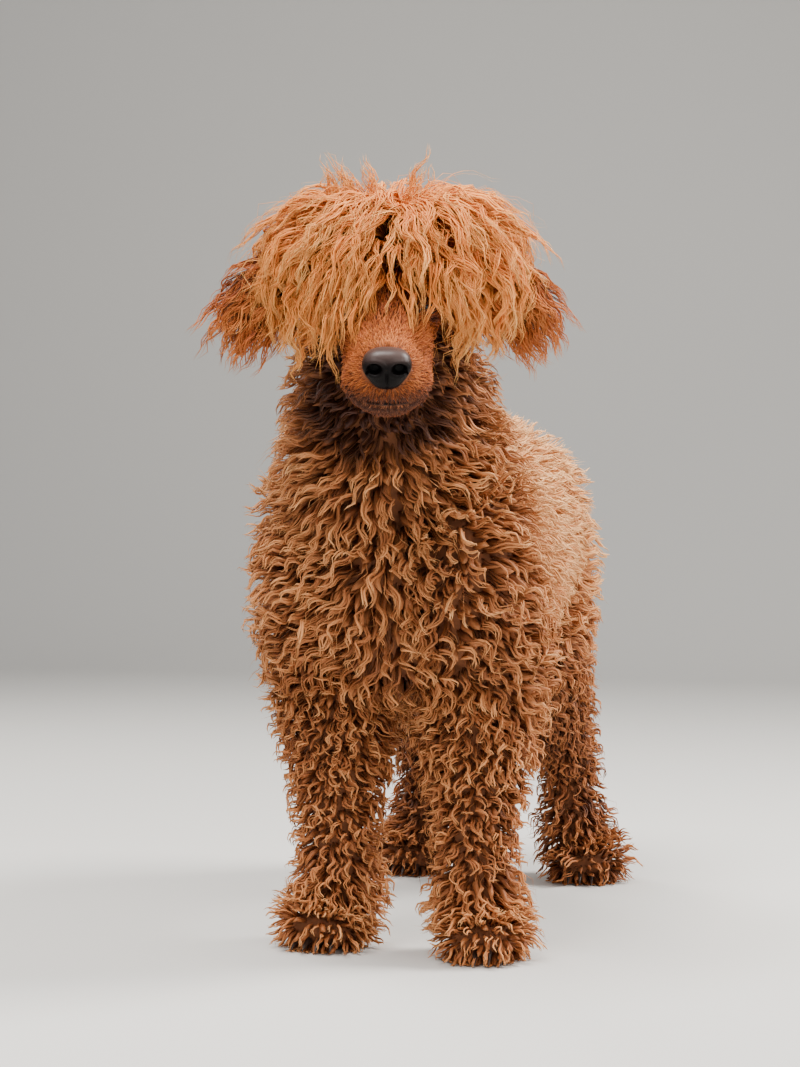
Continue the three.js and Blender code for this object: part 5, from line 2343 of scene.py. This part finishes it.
@dataclass
class Studio:
    """Pale floor, soft lights and the camera."""

    focal: float = 2400.0
    frame_height: float = 1067.0
    sensor: float = 36.0
    distance: float = 2350.0
    azimuth: float = math.radians(13)
    pitch: float = math.radians(-0.9)
    height: float = 447.0
    across: float = -6.0
    floor_half: float = 6.0
    wall: float = 3.4
    bend: float = 1.2
    bend_steps: int = 12
    aim: Place = (0.0, -0.05, 0.42)
    lamps: tuple[Lamp, ...] = (
        Lamp("key", (-0.35, -1.2, 2.9), 1.3, 172, (1.0, 0.97, 0.93)),
        Lamp("fill", (1.6, -2.4, 1.3), 1.6, 33, (1.0, 0.98, 0.96)),
        Lamp("rim_left", (-1.7, 1.5, 2.0), 1.0, 40, (1.0, 0.97, 0.92)),
        Lamp("rim_right", (1.9, 0.6, 2.2), 1.0, 172, (1.0, 0.97, 0.92)),
    )
    sky: Colour = (0.9, 0.93, 1.0)
    sky_strength: float = 0.25

    def build(self, finish: FloorFinish) -> None:
        """Sets the floor, lights and camera."""
        self._floor(finish.make())
        for lamp in self.lamps:
            lamp.hang(self.aim)
        self._sky()
        self._camera()

    def _floor(self, material: Material) -> None:
        """A floor that bends up into a backdrop far behind."""
        turns = np.linspace(0, math.pi / 2, self.bend_steps + 1)
        profile = [(-self.floor_half, 0.0), (self.wall, 0.0)]
        profile += [(self.wall + self.bend * math.sin(t), self.bend * (1 - math.cos(t))) for t in turns[1:]]
        profile.append((self.wall + self.bend, self.floor_half))
        points = [(x, y, z) for y, z in profile for x in (-self.floor_half, self.floor_half)]
        faces = [(2 * i, 2 * i + 1, 2 * i + 3, 2 * i + 2) for i in range(len(profile) - 1)]
        mesh = bpy.data.meshes.new("studio_floor")
        mesh.from_pydata(points, [], faces)
        mesh.shade_smooth()
        mesh.materials.append(material)
        new_object("studio_floor", mesh)

    def _sky(self) -> None:
        """Faint, even light from all round."""
        world = bpy.data.worlds.new("studio")
        world.use_nodes = True
        shade = world.node_tree.nodes["Background"]
        shade.inputs["Color"].default_value = opaque(self.sky)
        shade.inputs["Strength"].default_value = self.sky_strength
        bpy.context.scene.world = world

    def _camera(self) -> None:
        """The camera at the height, distance and angle of the view."""
        right = np.array([math.cos(self.azimuth), math.sin(self.azimuth), 0])
        place = np.array([math.sin(self.azimuth), -math.cos(self.azimuth), 0]) * self.distance
        place = place + UP * self.height + right * self.across
        level, turn = math.cos(self.pitch), self.azimuth
        ahead = Vector((-math.sin(turn) * level, math.cos(turn) * level, math.sin(self.pitch)))
        data = bpy.data.cameras.new("camera")
        data.sensor_width = self.sensor
        data.lens = self.focal / self.frame_height * self.sensor
        camera = bpy.data.objects.new("camera", data)
        camera.location = DESIGN.place(place)
        camera.rotation_mode = "QUATERNION"
        camera.rotation_quaternion = ahead.to_track_quat("-Z", "Y")
        bpy.context.scene.collection.objects.link(camera)
        bpy.context.scene.camera = camera


BODY_HAIR = HairFinish(
    "body_hair", rgb(92, 50, 24), rgb(168, 100, 54), rgb(216, 146, 88), rgb(242, 186, 128), (0.88, 0.7, 0.54)
)
# Hair near the skin, darker than the body's hair: its extra darkness is painted shade deep in the coat
# between the locks
UNDER_HAIR = HairFinish(
    "undercoat", rgb(84, 46, 23), rgb(132, 76, 40), rgb(168, 104, 58), rgb(192, 128, 78), (0.88, 0.7, 0.54)
)
MOP_HAIR = HairFinish(
    "mop_hair", rgb(136, 66, 24), rgb(212, 116, 42), rgb(248, 160, 76), rgb(255, 198, 120), (0.9, 0.66, 0.46)
)
EAR_HAIR = HairFinish(
    "ear_hair", rgb(84, 36, 12), rgb(168, 84, 32), rgb(214, 128, 60), rgb(236, 166, 98), (0.88, 0.64, 0.44)
)
FACE_HAIR = HairFinish(
    "face_hair", rgb(78, 34, 12), rgb(170, 84, 30), rgb(220, 132, 58), rgb(242, 172, 96), (0.92, 0.72, 0.5)
)


def main() -> None:
    """Builds every piece in order and reports it."""
    logging.basicConfig(level=logging.INFO, format="%(name)s: %(message)s")
    forms = body_forms()
    eyes, mouth = Eyes(), Mouth()
    skin = Skin(eyes, mouth, forms).build(SkinFinish().make())
    eyes.build(EyeFinish().make())
    Nose().build(NoseFinish().make())
    Claws().build(ClawFinish().make())
    ground = Ground(forms)
    scatter = Scatter(skin, ground)
    BodyCoat(scatter, ground).build(BODY_HAIR.make(), UNDER_HAIR.make())
    Mop(scatter, ground).build(MOP_HAIR.make())
    EarHair(scatter, ground).build(EAR_HAIR.make())
    FaceFur(scatter, ground, eyes=eyes, mouth=mouth).build(FACE_HAIR.make())
    Studio().build(FloorFinish())
    bpy.context.view_layer.update()


if __name__ == "__main__":
    main()
